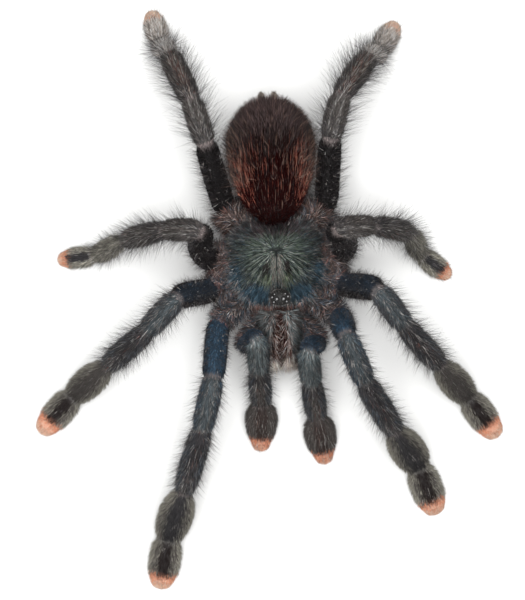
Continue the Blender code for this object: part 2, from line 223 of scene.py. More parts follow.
# Colours laid over each other on the other pieces: colour, where, and how much
CARAPACE_PAINT = (
    ("groove", "dark_streaks", 1.0), ("lichen", "pale_streaks", 1.0), ("umber", "rear_streaks", 0.3),
    ("grey", "wedge", 0.75), ("fawn", "wedge", 0.15), ("groove", "midline", 0.85),
    ("umber_dark", "beside_wedge", 0.9), ("moss", "head_patches", 0.8), ("storm", "outer", 0.65),
    ("sea", "outer", 0.22), ("umber", "outer", 0.16), ("stripe", "outer", 0.08),
    ("charcoal", "rear_sides", 0.3), ("sea", "front_corners", 0.98), ("sea", "shoulders", 0.7),
    ("sea", "front_rim", 0.3), ("plum", "rear_edge", 0.75), ("storm", "rear_corners", 0.5),
    ("groove", "all", 0.2), ("groove", "centre", 0.5), ("groove", "pit", 1.0), ("umber", "rim", 0.4),
    ("pale", "all", 0.01),
)
ABDOMEN_PAINT = (
    ("maroon", "front", 0.97), ("black", "back", 0.4), ("dust", "flanks", 0.45),
    ("charcoal", "front_flanks", 0.5), ("belly", "below", 0.8),
)
RED_HAIR_PAINT = (
    ("maroon", "front", 0.93), ("red", "red_flanks", 1.0), ("dust", "sides", 0.45), ("dust", "all", 0.02),
)
JAW_PAINT = (
    ("fawn", "scattered", 1.0), ("umber", "root", 0.4), ("fawn", "end", 0.5), ("belly", "below", 0.8),
    ("cream", "lip", 0.8),
)
# Where the colour of the back gives way to that of the flanks, as a part of the half width
BACK_WIDTH = {
    "coxa": (0.7, 1.0), "femur": (0.6, 1.0), "patella": (0.5, 0.9), "tibia": (0.3, 0.7),
    "metatarsus": (0.3, 0.95), "tarsus": (0.26, 0.72),
}
# Short hair of each segment: length, rise off the skin on the back and at the flanks in degrees,
# how thickly it grows, how untidily it lies and how uneven its shade is
SHORT_HAIR = {
    "coxa": (2.2, 34, 62, 1.5, 0.3, 1.6), "femur": (0.85, 16, 30, 1.1, 0.06, 1.3),
    "patella": (1.1, 18, 34, 1.0, 0.08, 1.2), "tibia": (1.2, 22, 38, 1.0, 0.09, 1.3),
    "metatarsus": (1.3, 24, 42, 1.0, 0.11, 1.3), "tarsus": (1.1, 24, 40, 1.15, 0.08, 1.1),
}
BRUSH_HAIR = {"metatarsus": (1.1, 16, 44, 1.3, 0.04, 0.35), "tarsus": (1.05, 16, 44, 1.35, 0.04, 0.35)}
COXA_TUFT = (0.0, 0.0, 0.2, 0.6, 0.6)  # how much more and longer hair the coxa has
# Bristles: length, rise and how thickly they grow
LONG_HAIR = {
    "coxa": (3.2, 54, 1.6), "femur": (2.8, 60, 1.1), "patella": (4.8, 54, 1.1), "tibia": (5.2, 50, 1.3),
    "metatarsus": (4.4, 48, 0.95), "tarsus": (2.6, 40, 0.3),
}
BRUSH_LONG_HAIR = {"metatarsus": (1.8, 34, 0.1), "tarsus": (1.4, 26, 0.02)}
BRISTLE_REACH = (0.6, 0.64, 0.75, 0.9, 1.15)  # how long the bristles of each pair are
BRISTLE_WIDTH = (0.66, 0.66, 0.66, 0.55, 0.55)  # how thick they are
# Pale hairs along the top, partly real and partly painted glints of light: length, rise and how thickly they
# grow
STRAY_HAIR = {
    "coxa": (0.9, 45, 3.0), "femur": (0.4, 24, 0.12), "patella": (1.5, 16, 0.8), "tibia": (2.2, 16, 0.8),
    "metatarsus": (2.2, 10, 0.3), "tarsus": (2.4, 10, 0.1),
}
BRUSH_STRAY, PALP_STRAY = {"tarsus": (2.2, 12, 0.1)}, {"tarsus": (2.2, 12, 1.0)}
# Smaller growths, as parts of the number of hairs that the property gives: the toe tuft, the pale hairs
# on the backs of each pair of limbs (partly painted glints), those over the velvet and round the rim, and
# the jaws' fringe
TUFT_HAIRS, STRAY_HAIRS = 1 / 6, (1 / 4, 1 / 11, 1 / 11, 1 / 11, 1 / 11)
PALE_VELVET, PALE_RIM, FRINGE = 1 / 12, 1 / 2, 5 / 2
# The tuft's roots get less painted shade than other hair, so the translucent tuft looks lit through
TIP_FADE = (0.66, 1.1)  # brightness of the tuft's hairs at their roots and tips
TIP_START = (0.72, 0.71, 0.64, 0.7, 0.74)  # what part of the way along the tarsus the toe tuft begins

# Shades of one colour of hair: how bright each level is
LEVELS = np.array((0.2, 0.36, 0.56, 0.8, 1.08, 1.45, 2.0, 2.8))
USUAL_LEVEL = 3.3
TILES = 20  # tiles along each side of a coat's colour map
LOCKS = 997  # different locks of hair a coat can have
# A hair's three faces, how far along it each corner is, and the corners' places across its tile
SPIKE = ((0, 1, 3), (1, 2, 3), (2, 0, 3))
SPIKE_CORNERS = 4
SPIKE_PART = np.array((0.0, 0.0, 0.0, 1.0))
SPIKE_WIDTH = np.array((0.1, 0.5, 0.9, 0.5))

# How rough and how glossy each kind of hair is, and how rough each skin
HAIR_LOOKS = {
    "limb_hair": (0.5, 0.1), "limb_bristle": (0.42, 0.15), "velvet": (0.45, 0.1),
    "rim_bristle": (0.45, 0.15), "abdomen_hair": (0.5, 0.03), "abdomen_bristle": (0.42, 0.06),
    "jaw_hair": (0.45, 0.1), "jaw_bristle": (0.42, 0.15),
}
SKIN_LOOKS = {
    "limb_skin": 0.62, "carapace_skin_finish": 0.5, "abdomen_skin_finish": 0.62, "jaw_skin": 0.62,
}
# Rings and corners of each skin, and how bright it is against the colours of its hair
SKINS = {
    "carapace": ((56, 144), 0.5), "eye_mound": ((24, 40), 0.12), "abdomen": ((70, 56), 0.45),
    "jaw": ((44, 32), 0.45), "spinneret": ((24, 20), 0.45),
}
LIMB_RING_STEP, LIMB_CORNERS, LIMB_SHADE = 0.7, 18, 0.4
LENS_SIZE, FANG_SIZE = (10, 20), (40, 20)  # rings and corners of an eye and of a fang
EYE_COLOUR, FANG_ROOT, FANG_TIP = "0c0a0b", "120c0b", "3a1710"

CAMERA_AT = (-0.16, -1.13)  # where the camera stands over the part
CAMERA_TURN = -3.05  # in degrees, about the upright axis
CAMERA_SEES = (0.01, 20.0)  # nearest and farthest, in metres
SENSOR = 36.0
# Lights: the property with the power, place and side in metres, and turn in degrees
LIGHTS = (
    ("top_light", (0.0, 0.0, 1.6), 1.5, (0.0, 0.0, 0.0)),
    ("side_light", (-0.8, -1.2, 1.0), 1.2, (55.0, 0.0, -35.0)),
)
FLOOR_TILES = 8
FLOOR_SHADE = 0.985  # the darker tone of the floor's faint grain


def linear(code):
    """A colour in linear light from a code such as 1b1718."""
    parts = [int(code[k:k + 2], 16) / 255 for k in (0, 2, 4)]
    return tuple(p / 12.92 if p <= 0.04045 else ((p + 0.055) / 1.055) ** 2.4 for p in parts)


def swatch(name, description, code):
    """A colour that the user may change."""
    return FloatVectorProperty(
        name=name, description=description, subtype="COLOR", size=3, min=0.0, max=1.0, default=linear(code)
    )


def amount(name, description, default):
    """A number of hairs, never so few that a smaller growth is left with none."""
    return IntProperty(name=name, description=description, default=default, min=100)


def thickness(name, description, default):
    """Half the thickness of a kind of hair."""
    return FloatProperty(
        name=name, description=description, default=default, min=0.0, unit="LENGTH", precision=6
    )


class TarantulaColours(PropertyGroup):
    """Colours of the hair, from its middle length."""

    black: swatch("Black", "Velvet of the hind femora", "0e0a0b")
    midnight: swatch("Midnight", "Dark blue of the femora", "202933")
    blue: swatch("Blue", "Brightest blue of the first femora", "2e4253")
    slate: swatch("Slate", "Grey back of the patellae", "4f575b")
    slate_blue: swatch("Slate blue", "Bluish flanks of the patellae", "434f59")
    slate_dark: swatch("Dark slate", "Flanks of the tibiae", "52565b")
    charcoal: swatch("Charcoal", "Flanks of the hind limbs", "585350")
    umber: swatch("Umber", "Brown of the coxae", "433936")
    umber_dark: swatch("Dark umber", "Midline of the tibiae and feet", "2b2423")
    taupe: swatch("Taupe", "Flanks of the hind feet", "9c9289")
    olive: swatch("Olive grey", "Brush at the sides of the feet", "9b978c")
    belly: swatch("Belly", "Underside", "2b2524")
    stripe: swatch("Stripe", "Pale stripes of the patellae", "85827f")
    ring: swatch("Joint ring", "Pinkish rings at the joints", "978a88")
    pale: swatch("Pale hair", "Scattered pale hairs", "c6c0bb")
    salmon: swatch("Salmon", "Tufts at the toes", "ea9a78")
    rust: swatch("Rust", "Reddish hairs on the tibiae", "765049")
    red: swatch("Red", "Long hairs on the abdomen's flanks", "d07c68")
    maroon: swatch("Maroon", "Nearly black red of the abdomen's front", "220403")
    red_dark: swatch("Dark red", "Under the red hairs", "2a0f0b")
    rear: swatch("Rear", "Short coat at the abdomen's rear", "5b4c4b")
    dust: swatch("Dust", "Fine hair at the abdomen's sides", "8d7266")
    green: swatch("Green", "Streaks on the carapace", "6c7a6a")
    grey: swatch("Grey", "Middle of the carapace", "74756f")
    sea: swatch("Sea blue", "Front corners and flanks of the carapace", "4c6372")
    groove: swatch("Groove", "Dark grooves of the carapace", "262b2a")
    plum: swatch("Plum", "Rear edge of the carapace", "66595b")
    moss: swatch("Moss", "Olive patches beside the head's midline", "737c68")
    lichen: swatch("Lichen", "Pale streaks of the carapace", "a3aaa0")
    fawn: swatch("Fawn", "Bristles round the coxae", "958079")
    soot: swatch("Soot", "Backs of the tibiae", "413f41")
    mist: swatch("Mist", "Pale feet of the last pair", "f2e7de")
    peach: swatch("Peach", "Ends of the toe tufts", "f7d0b9")
    seta: swatch("Bristle", "Long bristles of the limbs", "4c4644")
    storm: swatch("Storm", "Outer part of the carapace", "636c6e")
    cream: swatch("Cream", "Fringe of the jaws", "e0d2c2")


KINDS = tuple(TarantulaColours.__annotations__)


class TarantulaHair(PropertyGroup):
    """How much hair there is and how thick it is."""

    leg_coat: amount("Leg coat", "Short hairs on a leg", 14700)
    leg_bristles: amount("Leg bristles", "Long hairs on a leg", 3500)
    palp_coat: amount("Palp coat", "Short hairs on a palp", 11000)
    palp_bristles: amount("Palp bristles", "Long hairs on a palp", 1600)
    abdomen_coat: amount("Abdomen coat", "Short hairs", 27000)
    abdomen_bristles: amount("Abdomen bristles", "Long hairs", 7000)
    carapace_coat: amount("Carapace velvet", "Short hairs", 30000)
    carapace_bristles: amount("Carapace bristles", "Long hairs", 3000)
    jaw_coat: amount("Jaw coat", "Short hairs on a jaw", 7000)
    jaw_bristles: amount("Jaw bristles", "Long hairs on a jaw", 1100)
    spinneret_coat: amount("Spinneret coat", "Hairs on one", 900)
    mound_fuzz: amount("Eye mound", "Hairs between the eyes", 460)
    coat_radius: thickness("Coat radius", "Half the thickness of a short hair", 0.00007)
    bristle_radius: thickness("Bristle radius", "Half the thickness of a long hair", 0.00005)


class TarantulaStage(PropertyGroup):
    """Floor, light and camera."""

    floor_colour: swatch("Floor", "Plain pale floor", "dadad9")
    floor_size: FloatProperty(name="Floor size", description="Side of the floor", default=6.0, unit="LENGTH")
    top_light: FloatProperty(
        name="Top light", description="Large soft light above", default=46.0, unit="POWER"
    )
    side_light: FloatProperty(
        name="Side light", description="Soft light from the front", default=6.0, unit="POWER"
    )
    sky: FloatProperty(name="Sky", description="Even light from all round", default=0.5, min=0.0)
    camera_height: FloatProperty(
        name="Camera height", description="Straight above the specimen", default=0.6, unit="LENGTH"
    )
    view_height: FloatProperty(
        name="View height", description="What the picture's height covers at the floor", default=0.12,
        unit="LENGTH",
    )


# Shader building


class Sum:
    """A shader value that can be added and multiplied."""

    def __init__(self, finish, socket):
        self.finish = finish
        self.socket = socket

    def __add__(self, other):
        return self.finish.math("ADD", self, other)

    __radd__ = __add__

    def __mul__(self, other):
        return self.finish.math("MULTIPLY", self, other)

    __rmul__ = __mul__


class Finish:
    """A material while its nodes are being laid."""

    def __init__(self, name):
        self.material = bpy.data.materials.new(name)
        self.material.use_nodes = True
        self.tree = self.material.node_tree
        self.tree.nodes.clear()

    def node(self, kind, settings=None, inputs=None, output=0):
        """A node of this type: its settings, then the values or links of its sockets."""
        made = self.tree.nodes.new(kind)
        for name, value in (settings or {}).items():
            setattr(made, name, value)
        for name, value in (inputs or {}).items():
            if isinstance(value, Sum):
                self.tree.links.new(value.socket, made.inputs[name])
            else:
                made.inputs[name].default_value = value
        return Sum(self, made.outputs[output]) if made.outputs else made

    def math(self, operation, *values):
        """A sum or product of values."""
        return self.node("ShaderNodeMath", {"operation": operation}, dict(enumerate(values)))

    def noise(self, scale, detail=2.0, roughness=0.5):
        """Cloudy values from 0 to 1 that stay with the mesh."""
        place = self.node("ShaderNodeTexCoord", output="Object")
        return self.node(
            "ShaderNodeTexNoise", None,
            {"Vector": place, "Scale": scale, "Detail": detail, "Roughness": roughness},
        )

    def tint(self):
        """The colour that the mesh itself holds."""
        return self.node("ShaderNodeAttribute", {"attribute_name": "tint"}, output="Color")

    def shade(self, colour, brightness):
        """The colour made lighter or darker by a value around 1."""
        return self.node("ShaderNodeVectorMath", {"operation": "SCALE"}, {0: colour, "Scale": brightness})

    def bump(self, height, strength, distance):
        """Fine relief from a height."""
        inputs = {"Height": height, "Strength": strength, "Distance": distance}
        return self.node("ShaderNodeBump", None, inputs)

    def surface(self, **inputs):
        """Ends the material in a plain surface shader with these inputs."""
        named = {name.replace("_", " "): value for name, value in inputs.items()}
        shader = self.node("ShaderNodeBsdfPrincipled", None, named)
        self.node("ShaderNodeOutputMaterial", None, {"Surface": shader})
        return self.material


def hair_finish(name, roughness, gloss):
    """Hair: each strand has its own shade, a little uneven along it."""
    finish = Finish(name)
    uneven = 0.82 + 0.36 * finish.noise(2600.0)
    colour = finish.shade(finish.tint(), uneven)
    return finish.surface(Base_Color=colour, Roughness=roughness, Specular_IOR_Level=gloss)


def skin_finish(name, roughness):
    """Leathery skin under the hair, with fine pits."""
    finish = Finish(name)
    blotch = finish.noise(420.0, 4.0)
    pits = finish.noise(3200.0, 3.0, 0.6)
    colour = finish.shade(finish.tint(), 0.6 + 0.8 * blotch)
    return finish.surface(
        Base_Color=colour, Roughness=roughness - 0.1 + 0.2 * blotch, Specular_IOR_Level=0.2,
        Normal=finish.bump(pits, 0.5, 0.00015),
    )


def fang_finish():
    """Hard and glossy, nearly black, with fine growth lines."""
    finish = Finish("fang_horn")
    lines = finish.noise(1500.0, 3.0)
    colour = finish.shade(finish.tint(), 0.8 + 0.4 * lines)
    return finish.surface(
        Base_Color=colour, Roughness=0.16 + 0.12 * lines, Coat_Weight=0.5, Coat_Roughness=0.08,
        Normal=finish.bump(lines, 0.15, 0.00005),
    )


def eye_finish():
    """Glossy dark lenses."""
    finish = Finish("eye_lens")
    depth = finish.noise(5200.0, 1.0)
    colour = finish.shade(finish.tint(), 0.7 + 0.6 * depth)
    return finish.surface(Base_Color=colour, Roughness=0.06 + 0.05 * depth, Coat_Weight=0.8)


def floor_finish(colour):
    """Plain and matt, with a faint grain."""
    finish = Finish("floor")
    grain = finish.noise(60.0, 3.0)
    base = finish.node(
        "ShaderNodeMix", {"data_type": "RGBA"},
        {"Factor": grain, "A": (*[FLOOR_SHADE * c for c in colour], 1.0), "B": (*colour, 1.0)},
        output="Result",
    )
    return finish.surface(Base_Color=base, Roughness=0.85, Specular_IOR_Level=0.1)


def finish_named(name):
    """The finish of this name, made when it is first asked for."""
    made = bpy.data.materials.get(name)
    if made is None and name in HAIR_LOOKS:
        made = hair_finish(name, *HAIR_LOOKS[name])
    elif made is None and name in SKIN_LOOKS:
        made = skin_finish(name, SKIN_LOOKS[name])
    elif made is None:
        made = {"fang_horn": fang_finish, "eye_lens": eye_finish}[name]()
    return made


# Surfaces that hair grows on


def unit(vectors):
    """The same directions, each of length 1."""
    return vectors / np.maximum(np.linalg.norm(vectors, axis=-1, keepdims=True), 1e-12)


def step_up(values, low, high):
    """0 below low, 1 above high, eased between."""
    part = np.clip((values - low) / (high - low), 0.0, 1.0)
    return part * part * (3.0 - 2.0 * part)


def around(turn):
    """The same turn, between half a turn to each side."""
    return (turn + math.pi) % (2 * math.pi) - math.pi


def softened(places, table_places, column, reach, samples=5):
    """A column of a table read at these places, as the mean of the stretch around each."""
    shifts = np.linspace(-reach, reach, samples)
    return np.mean([np.interp(places + shift, table_places, column) for shift in shifts], axis=0)


class Skin:
    """A skin on which a place is how far along it is and the turn round it."""

    start = 0.0
    end = 1.0

    def point(self, along, turn):
        raise NotImplementedError

    def lie(self, along, turn):
        """At each place, the way the hair lies, the way round and the way out."""
        ahead = self.point(along + NUDGE, turn) - self.point(along - NUDGE, turn)
        aside = self.point(along, turn + NUDGE) - self.point(along, turn - NUDGE)
        comb = unit(ahead)
        out = unit(np.cross(ahead, aside))
        return comb, np.cross(out, comb), out

    def rings(self, count, sides):
        """Where the rings of a mesh over this skin stand, and the turns of their corners."""
        along, turn = np.meshgrid(
            np.linspace(self.start, self.end, count), np.linspace(0.0, 2 * math.pi, sides, endpoint=False),
            indexing="ij",
        )
        return along, turn, self.point(along, turn)


class Tube(Skin):
    """A skin of ovals along a line."""

    def __init__(self, travel, line, half_width, half_height):
        self.travel = np.asarray(travel)
        self.start, self.end = self.travel[0], self.travel[-1]
        along = unit(np.gradient(line, self.travel, axis=0))
        across = np.empty_like(along)
        side = unit(np.cross(along[-1], UP))
        for k in range(len(along) - 1, -1, -1):
            side = unit(side - along[k] * side.dot(along[k]))
            across[k] = side
        self.columns = np.column_stack(
            (line, across, np.cross(across, along), half_width, half_height)
        ).T

    def point(self, along, turn):
        read = np.stack([np.interp(along, self.travel, column) for column in self.columns], -1)
        centre, across, up = read[..., 0:3], read[..., 3:6], read[..., 6:9]
        wide = (read[..., 9] * np.cos(turn))[..., None]
        high = (read[..., 10] * np.sin(turn))[..., None]
        found = centre + across * wide + up * high
        found[..., 2] = np.maximum(found[..., 2], FLOOR_GAP)
        return found


class Limb(Tube):
    """A leg or a palp, from its coxa to its tarsus."""

    def __init__(self, name):
        _, side_name, *number = name.split("_")
        self.pair = int(number[0]) if number else 0
        self.side = 1 if side_name == "left" else -1
        self.parts = [part for part in SEGMENTS if self.pair or part != "metatarsus"]
        corners, marks = self.joints(POSE[name], BOW.get(name, 0.0))
        steps = np.linalg.norm(np.diff(corners, axis=0), axis=1)
        reach = np.concatenate(([0.0], np.cumsum(steps)))
        self.marks = reach[marks]
        travel = np.linspace(0.0, reach[-1], int(reach[-1] / LIMB_STEP))
        line = np.array([self.eased(corners, reach, s) for s in travel])
        width, height = self.girth(travel)
        pinch = 1.0
        for mark, depth in zip(self.marks[1:-1], PINCH):
            pinch = pinch - depth * np.exp(-(((travel - mark) / PINCH_REACH) ** 2))
        past = np.clip(1.0 - (travel[-1] - travel) / ROUND_END, 0.0, 0.999)
        close = pinch * (1.0 - past ** ROUND_SHAPE[0]) ** ROUND_SHAPE[1]
        super().__init__(travel, line, width * close, height * close)

    def girth(self, travel):
        """Half the width and half the height of the skin, before it is pinched and closed."""
        stations = []
        for number, part in enumerate(self.parts):
            start, end = self.marks[number:number + 2]
            girth = GIRTH[self.pair][number] * self.skin_part(part)
            flat = FLATNESS.get(part, 1.0)
            foot = not self.pair and part == "tarsus"
            for where, swell in PALP_FOOT if foot else SWELL[part]:
                stations.append((start + where * (end - start), girth * swell, girth * swell * flat))
        places, *columns = np.array(stations).T
        return (softened(travel, places, column, LIMB_SOFTENED) for column in columns)

    def skin_part(self, part):
        """What part of the solid's width the skin is."""
        brush = self.pair in BRUSH_PAIRS and part in BRUSH_HAIR
        return BRUSH_SKIN if brush else LIMB_SKIN[part]

    def joints(self, pose, bow):
        """The corner points of the limb, and which of them are its joints."""
        outward, rearward, height = BASE[self.pair]
        points = [np.array((self.side * outward, rearward, height))]
        for length, (heading, far_height) in zip(LENGTH[self.pair], pose):
            rise = far_height - points[-1][2]
            reach = math.sqrt(length**2 - rise**2)
            turn = math.radians(heading)
            step = (self.side * reach * math.cos(turn), reach * math.sin(turn), rise)
            points.append(points[-1] + np.array(step))
        marks = list(range(len(points)))
        if bow:
            middle = (points[1] + points[2]) / 2 + np.array((self.side * bow, 0.0, 0.0))
            points.insert(2, middle)
            marks = [0, 1] + [m + 1 for m in marks[2:]]
        return np.array(points), marks

    def eased(self, corners, travel, s):
        """The chain of corners rounded at its bends: the mean of the stretch around s."""
        reach = min(EASE, s, travel[-1] - s)
        stretch = s + reach * np.linspace(-1.0, 1.0, EASE_SAMPLES)
        return np.array([np.interp(stretch, travel, column).mean() for column in corners.T])

    def segment(self, along):
        """Which segment a place is on, and what part of the way along it."""
        number = np.searchsorted(self.marks[1:-1], along)
        start, end = self.marks[number], self.marks[number + 1]
        return number, (along - start) / (end - start)

    def by_segment(self, values, brush_values, column):
        """A function of place that reads one column of a table of segments."""
        table = dict(values)
        if self.pair in BRUSH_PAIRS:
            table.update(brush_values)
        numbers = np.array([table[part][column] for part in self.parts])
        return lambda along, turn: numbers[self.segment(along)[0]]

    def joint(self, along):
        """The nearest joint, from 0 at the coxa's end, and how far past it each place is."""
        inner = self.marks[1:-1]
        which = np.abs(along[..., None] - inner).argmin(-1)
        return which, along - inner[which]

    def zones(self, along, turn):
        """How much of each colour grows at each place."""
        number, part = self.segment(along)
        aside, top = np.abs(np.cos(turn)), np.sin(turn)
        shares = Shares(len(along))
        inner, outer = np.array([BACK_WIDTH[part] for part in self.parts])[number].T
        back = (1.0 - step_up(aside, inner, outer)) * step_up(top, -0.1, 0.2)
        belly = step_up(-top, 0.25, 0.65)
        for k, colours in enumerate(COAT[self.pair]):
            here = number == k
            shares.add(colours[0], here * back)
            shares.add(colours[1], here * (1.0 - back) * (1.0 - belly))
            shares.add(colours[2], here * (1.0 - back) * belly)
        knee = np.isin(number, (SEGMENTS.index("patella"), SEGMENTS.index("tibia")))
        inside = (1.0 - step_up(aside, 0.6, 1.0)) * step_up(top, -0.1, 0.2)
        twin = 1.0 - step_up(np.abs(aside - 0.38), 0.06, 0.18)
        places = {
            "all": 1.0,
            "back": back,
            "off_back": 1.0 - back,
            "beside_stripe": (1.0 - back) * inside,
            "twin_stripes": twin * step_up(top, 0.0, 0.3),
            "scattered": PALE_EVERYWHERE + PALE_ON_BACK[self.pair] * knee * back,
            "first_half": 1.0 - step_up(part, 0.1, 0.7),
            "first_third": 1.0 - step_up(part, 0.05, 0.45),
            "last_third": step_up(part, 0.55, 0.95),
        }
        for colour, segments, place, amounts in LIMB_PAINT:
            here = np.isin(number, [k for k, name in enumerate(self.parts) if name in segments])
            shares.mix(colour, here * places[place] * amounts[self.pair])
        self.add_joint_bands(shares, along, top)
        tarsus = number == len(self.parts) - 1
        self.add_toe_tuft(shares, tarsus, part, aside, top)
        return shares.table

    def add_joint_bands(self, shares, along, top):
        """Pinkish membrane and pale tufts where the segments meet."""
        which, past = self.joint(along)
        upper = step_up(top, 0.1, 0.6)
        for colour, joint, beyond, fade, amounts in JOINT_BANDS:
            band = (which == joint) * (1.0 - step_up(np.abs(past - beyond), *fade)) * upper
            shares.mix(colour, band * amounts[self.pair])

    def add_toe_tuft(self, shares, tarsus, part, aside, top):
        """The salmon tuft at the end of the tarsus. It starts further out on the back than beside it."""
        start = TIP_START[self.pair]
        cap = step_up(part - 0.06 * top * (1.0 - aside), start - 0.1, start + 0.12)
        shares.mix("salmon", tarsus * cap * TUFT_SALMON[self.pair])
        shares.mix("rust", tarsus * cap * TUFT_RUST[self.pair])
        end = step_up(part, start + 0.02, 0.95)
        if self.pair == 4:
            end = step_up(part - 0.08 * top * (1.0 - aside), start - 0.12, start + 0.14)
        end = end * TUFT_PEACH[self.pair]
        shares.mix("mist", tarsus * end * TUFT_MIST[self.pair])
        shares.mix("peach", tarsus * end)


class Carapace(Skin):
    """The shield over the head and the legs' roots, round the pit in its middle."""

    start, end = 0.03, 1.0

    def __init__(self):
        angles, radii = zip(*RIM)
        self.turns = np.radians(np.arange(-180.0, 181.0, 2.0))
        rough = np.interp(np.abs(np.degrees(self.turns)), angles, radii)
        ahead = [np.roll(rough[:-1], k) for k in range(-4, 5)]
        smooth = np.mean(ahead, axis=0)
        self.radii = np.append(smooth, smooth[0])

    def flat_place(self, along, turn):
        """The place as seen from above."""
        radius = np.interp(around(turn), self.turns, self.radii) * along * CARAPACE_SKIN
        return radius * np.sin(turn), -radius * np.cos(turn)

    def groove(self, along, turn):
        """How deep in a groove each place is, 0 to 1."""
        degrees = np.degrees(np.abs(around(turn)))
        depth = np.zeros_like(along)
        for angle, spread, strength in GROOVES:
            depth = depth + strength * np.exp(-(((degrees - angle) / spread) ** 2))
        return depth * step_up(along, 0.08, 0.25) * (1.0 - step_up(along, 0.62, 0.9))

    def point(self, along, turn):
        x, y = self.flat_place(along, turn)
        dome = DOME * (1.0 - np.abs(along) ** 2.6)
        aside, ahead = x / HEAD_SIZE[0], (y - HEAD_AT) / HEAD_SIZE[1]
        head = HEAD_RISE * np.exp(-(aside**2) - ahead**2) * (1.0 - np.abs(along) ** 6)
        fovea = FOVEA_DEPTH * np.exp(-((x / 1.4) ** 2) - (y / 0.45) ** 2)
        groove = GROOVE_DEPTH * self.groove(along, turn)
        z = RIM_HEIGHT - VELVET_DEPTH + dome + head - fovea - groove
        return np.stack((x, y, z), -1)

    def zones(self, along, turn):
        x, y = self.flat_place(along, turn)
        degrees = np.degrees(np.abs(around(turn)))
        ahead, aside = -y, np.abs(x)
        radius = np.hypot(x, y)
        wedge = (1.0 - step_up(aside - 0.09 * ahead, 0.55, 0.95)) * step_up(ahead, 0.3, 1.2)
        pit = np.exp(-((x / 1.2) ** 4) - (y / 0.24) ** 2)
        pit = pit + np.exp(-((x / 0.2) ** 2) - ((y + 0.7) / 0.6) ** 2)
        front_rim = step_up(along, 0.7, 0.9) * step_up(degrees, 20.0, 40.0) * step_up(-degrees, -80, -60)
        places = {
            "all": 1.0,
            **self.streaks(along, degrees, radius),
            "wedge": wedge,
            "midline": wedge * (1.0 - step_up(aside, 0.05, 0.2)),
            "beside_wedge": blot(aside, ahead, 1.9 + 0.2 * (ahead - 3.2), 3.2, 0.75, 1.5),
            "head_patches": blot(aside, ahead, 1.9, 5.9, 1.05, 1.8),
            "outer": step_up(along, 0.45, 0.75),
            "rear_sides": step_up(along, 0.6, 0.85) * step_up(degrees, 60.0, 90.0),
            "front_corners": blot(aside, ahead, 4.3, 8.4, 3.0, 2.3),
            "shoulders": blot(aside, ahead, 8.2, 4.6, 1.6, 2.6),
            "front_rim": front_rim,
            "rear_edge": step_up(y, 1.8, 3.4),
            "rear_corners": step_up(y, 1.0, 3.0) * step_up(aside, 3.0, 6.0),
            "centre": np.exp(-((radius / 1.3) ** 2)),
            "pit": np.clip(pit * 1.6, 0.0, 1.0),
            "rim": step_up(along, 0.93, 1.0),
        }
        shares = Shares(len(along))
        shares.add("green", 0.5)
        shares.add("storm", 0.5)
        return shares.paint(CARAPACE_PAINT, places)

    def streaks(self, along, degrees, radius):
        """Dark and pale streaks that fan out from the pit, bent and patchy."""
        reach = 0.38 + 0.4 * np.exp(-(((degrees - 42.0) / 26.0) ** 2))
        fan = step_up(radius, 0.5, 1.5) * (1.0 - step_up(along - reach, -0.1, 0.15))
        fan = fan * (1.0 - 0.45 * step_up(degrees, 90.0, 130.0))
        bent = degrees + 1.6 * (radius - 2.0) * np.sin(np.radians(degrees) * 1.4)
        patchy = 0.5 + 0.5 * np.sin(bent * 0.37 + 1.3) * np.sin(radius * 1.3 + bent * 0.11)
        ripple = np.cos(2 * math.pi * bent / STREAK + 1.4 * np.sin(bent / 5.3))
        bold = np.exp(-(((degrees - 45.0) / 30.0) ** 2))
        return {
            "dark_streaks": fan * step_up(ripple, -0.1, 0.6) * (0.35 + 0.3 * patchy + 0.25 * bold),
            "pale_streaks": fan * step_up(-ripple, 0.3, 0.85) * (0.2 + 0.5 * patchy + 0.3 * bold),
            "rear_streaks": step_up(degrees, 95.0, 120.0) * fan,
        }


def blot(aside, ahead, at_aside, at_ahead, half_width, half_length):
    """1 in the middle of an oval patch, 0 outside it."""
    away = np.hypot((aside - at_aside) / half_width, (ahead - at_ahead) / half_length)
    return 1.0 - step_up(away, 0.6, 1.15)


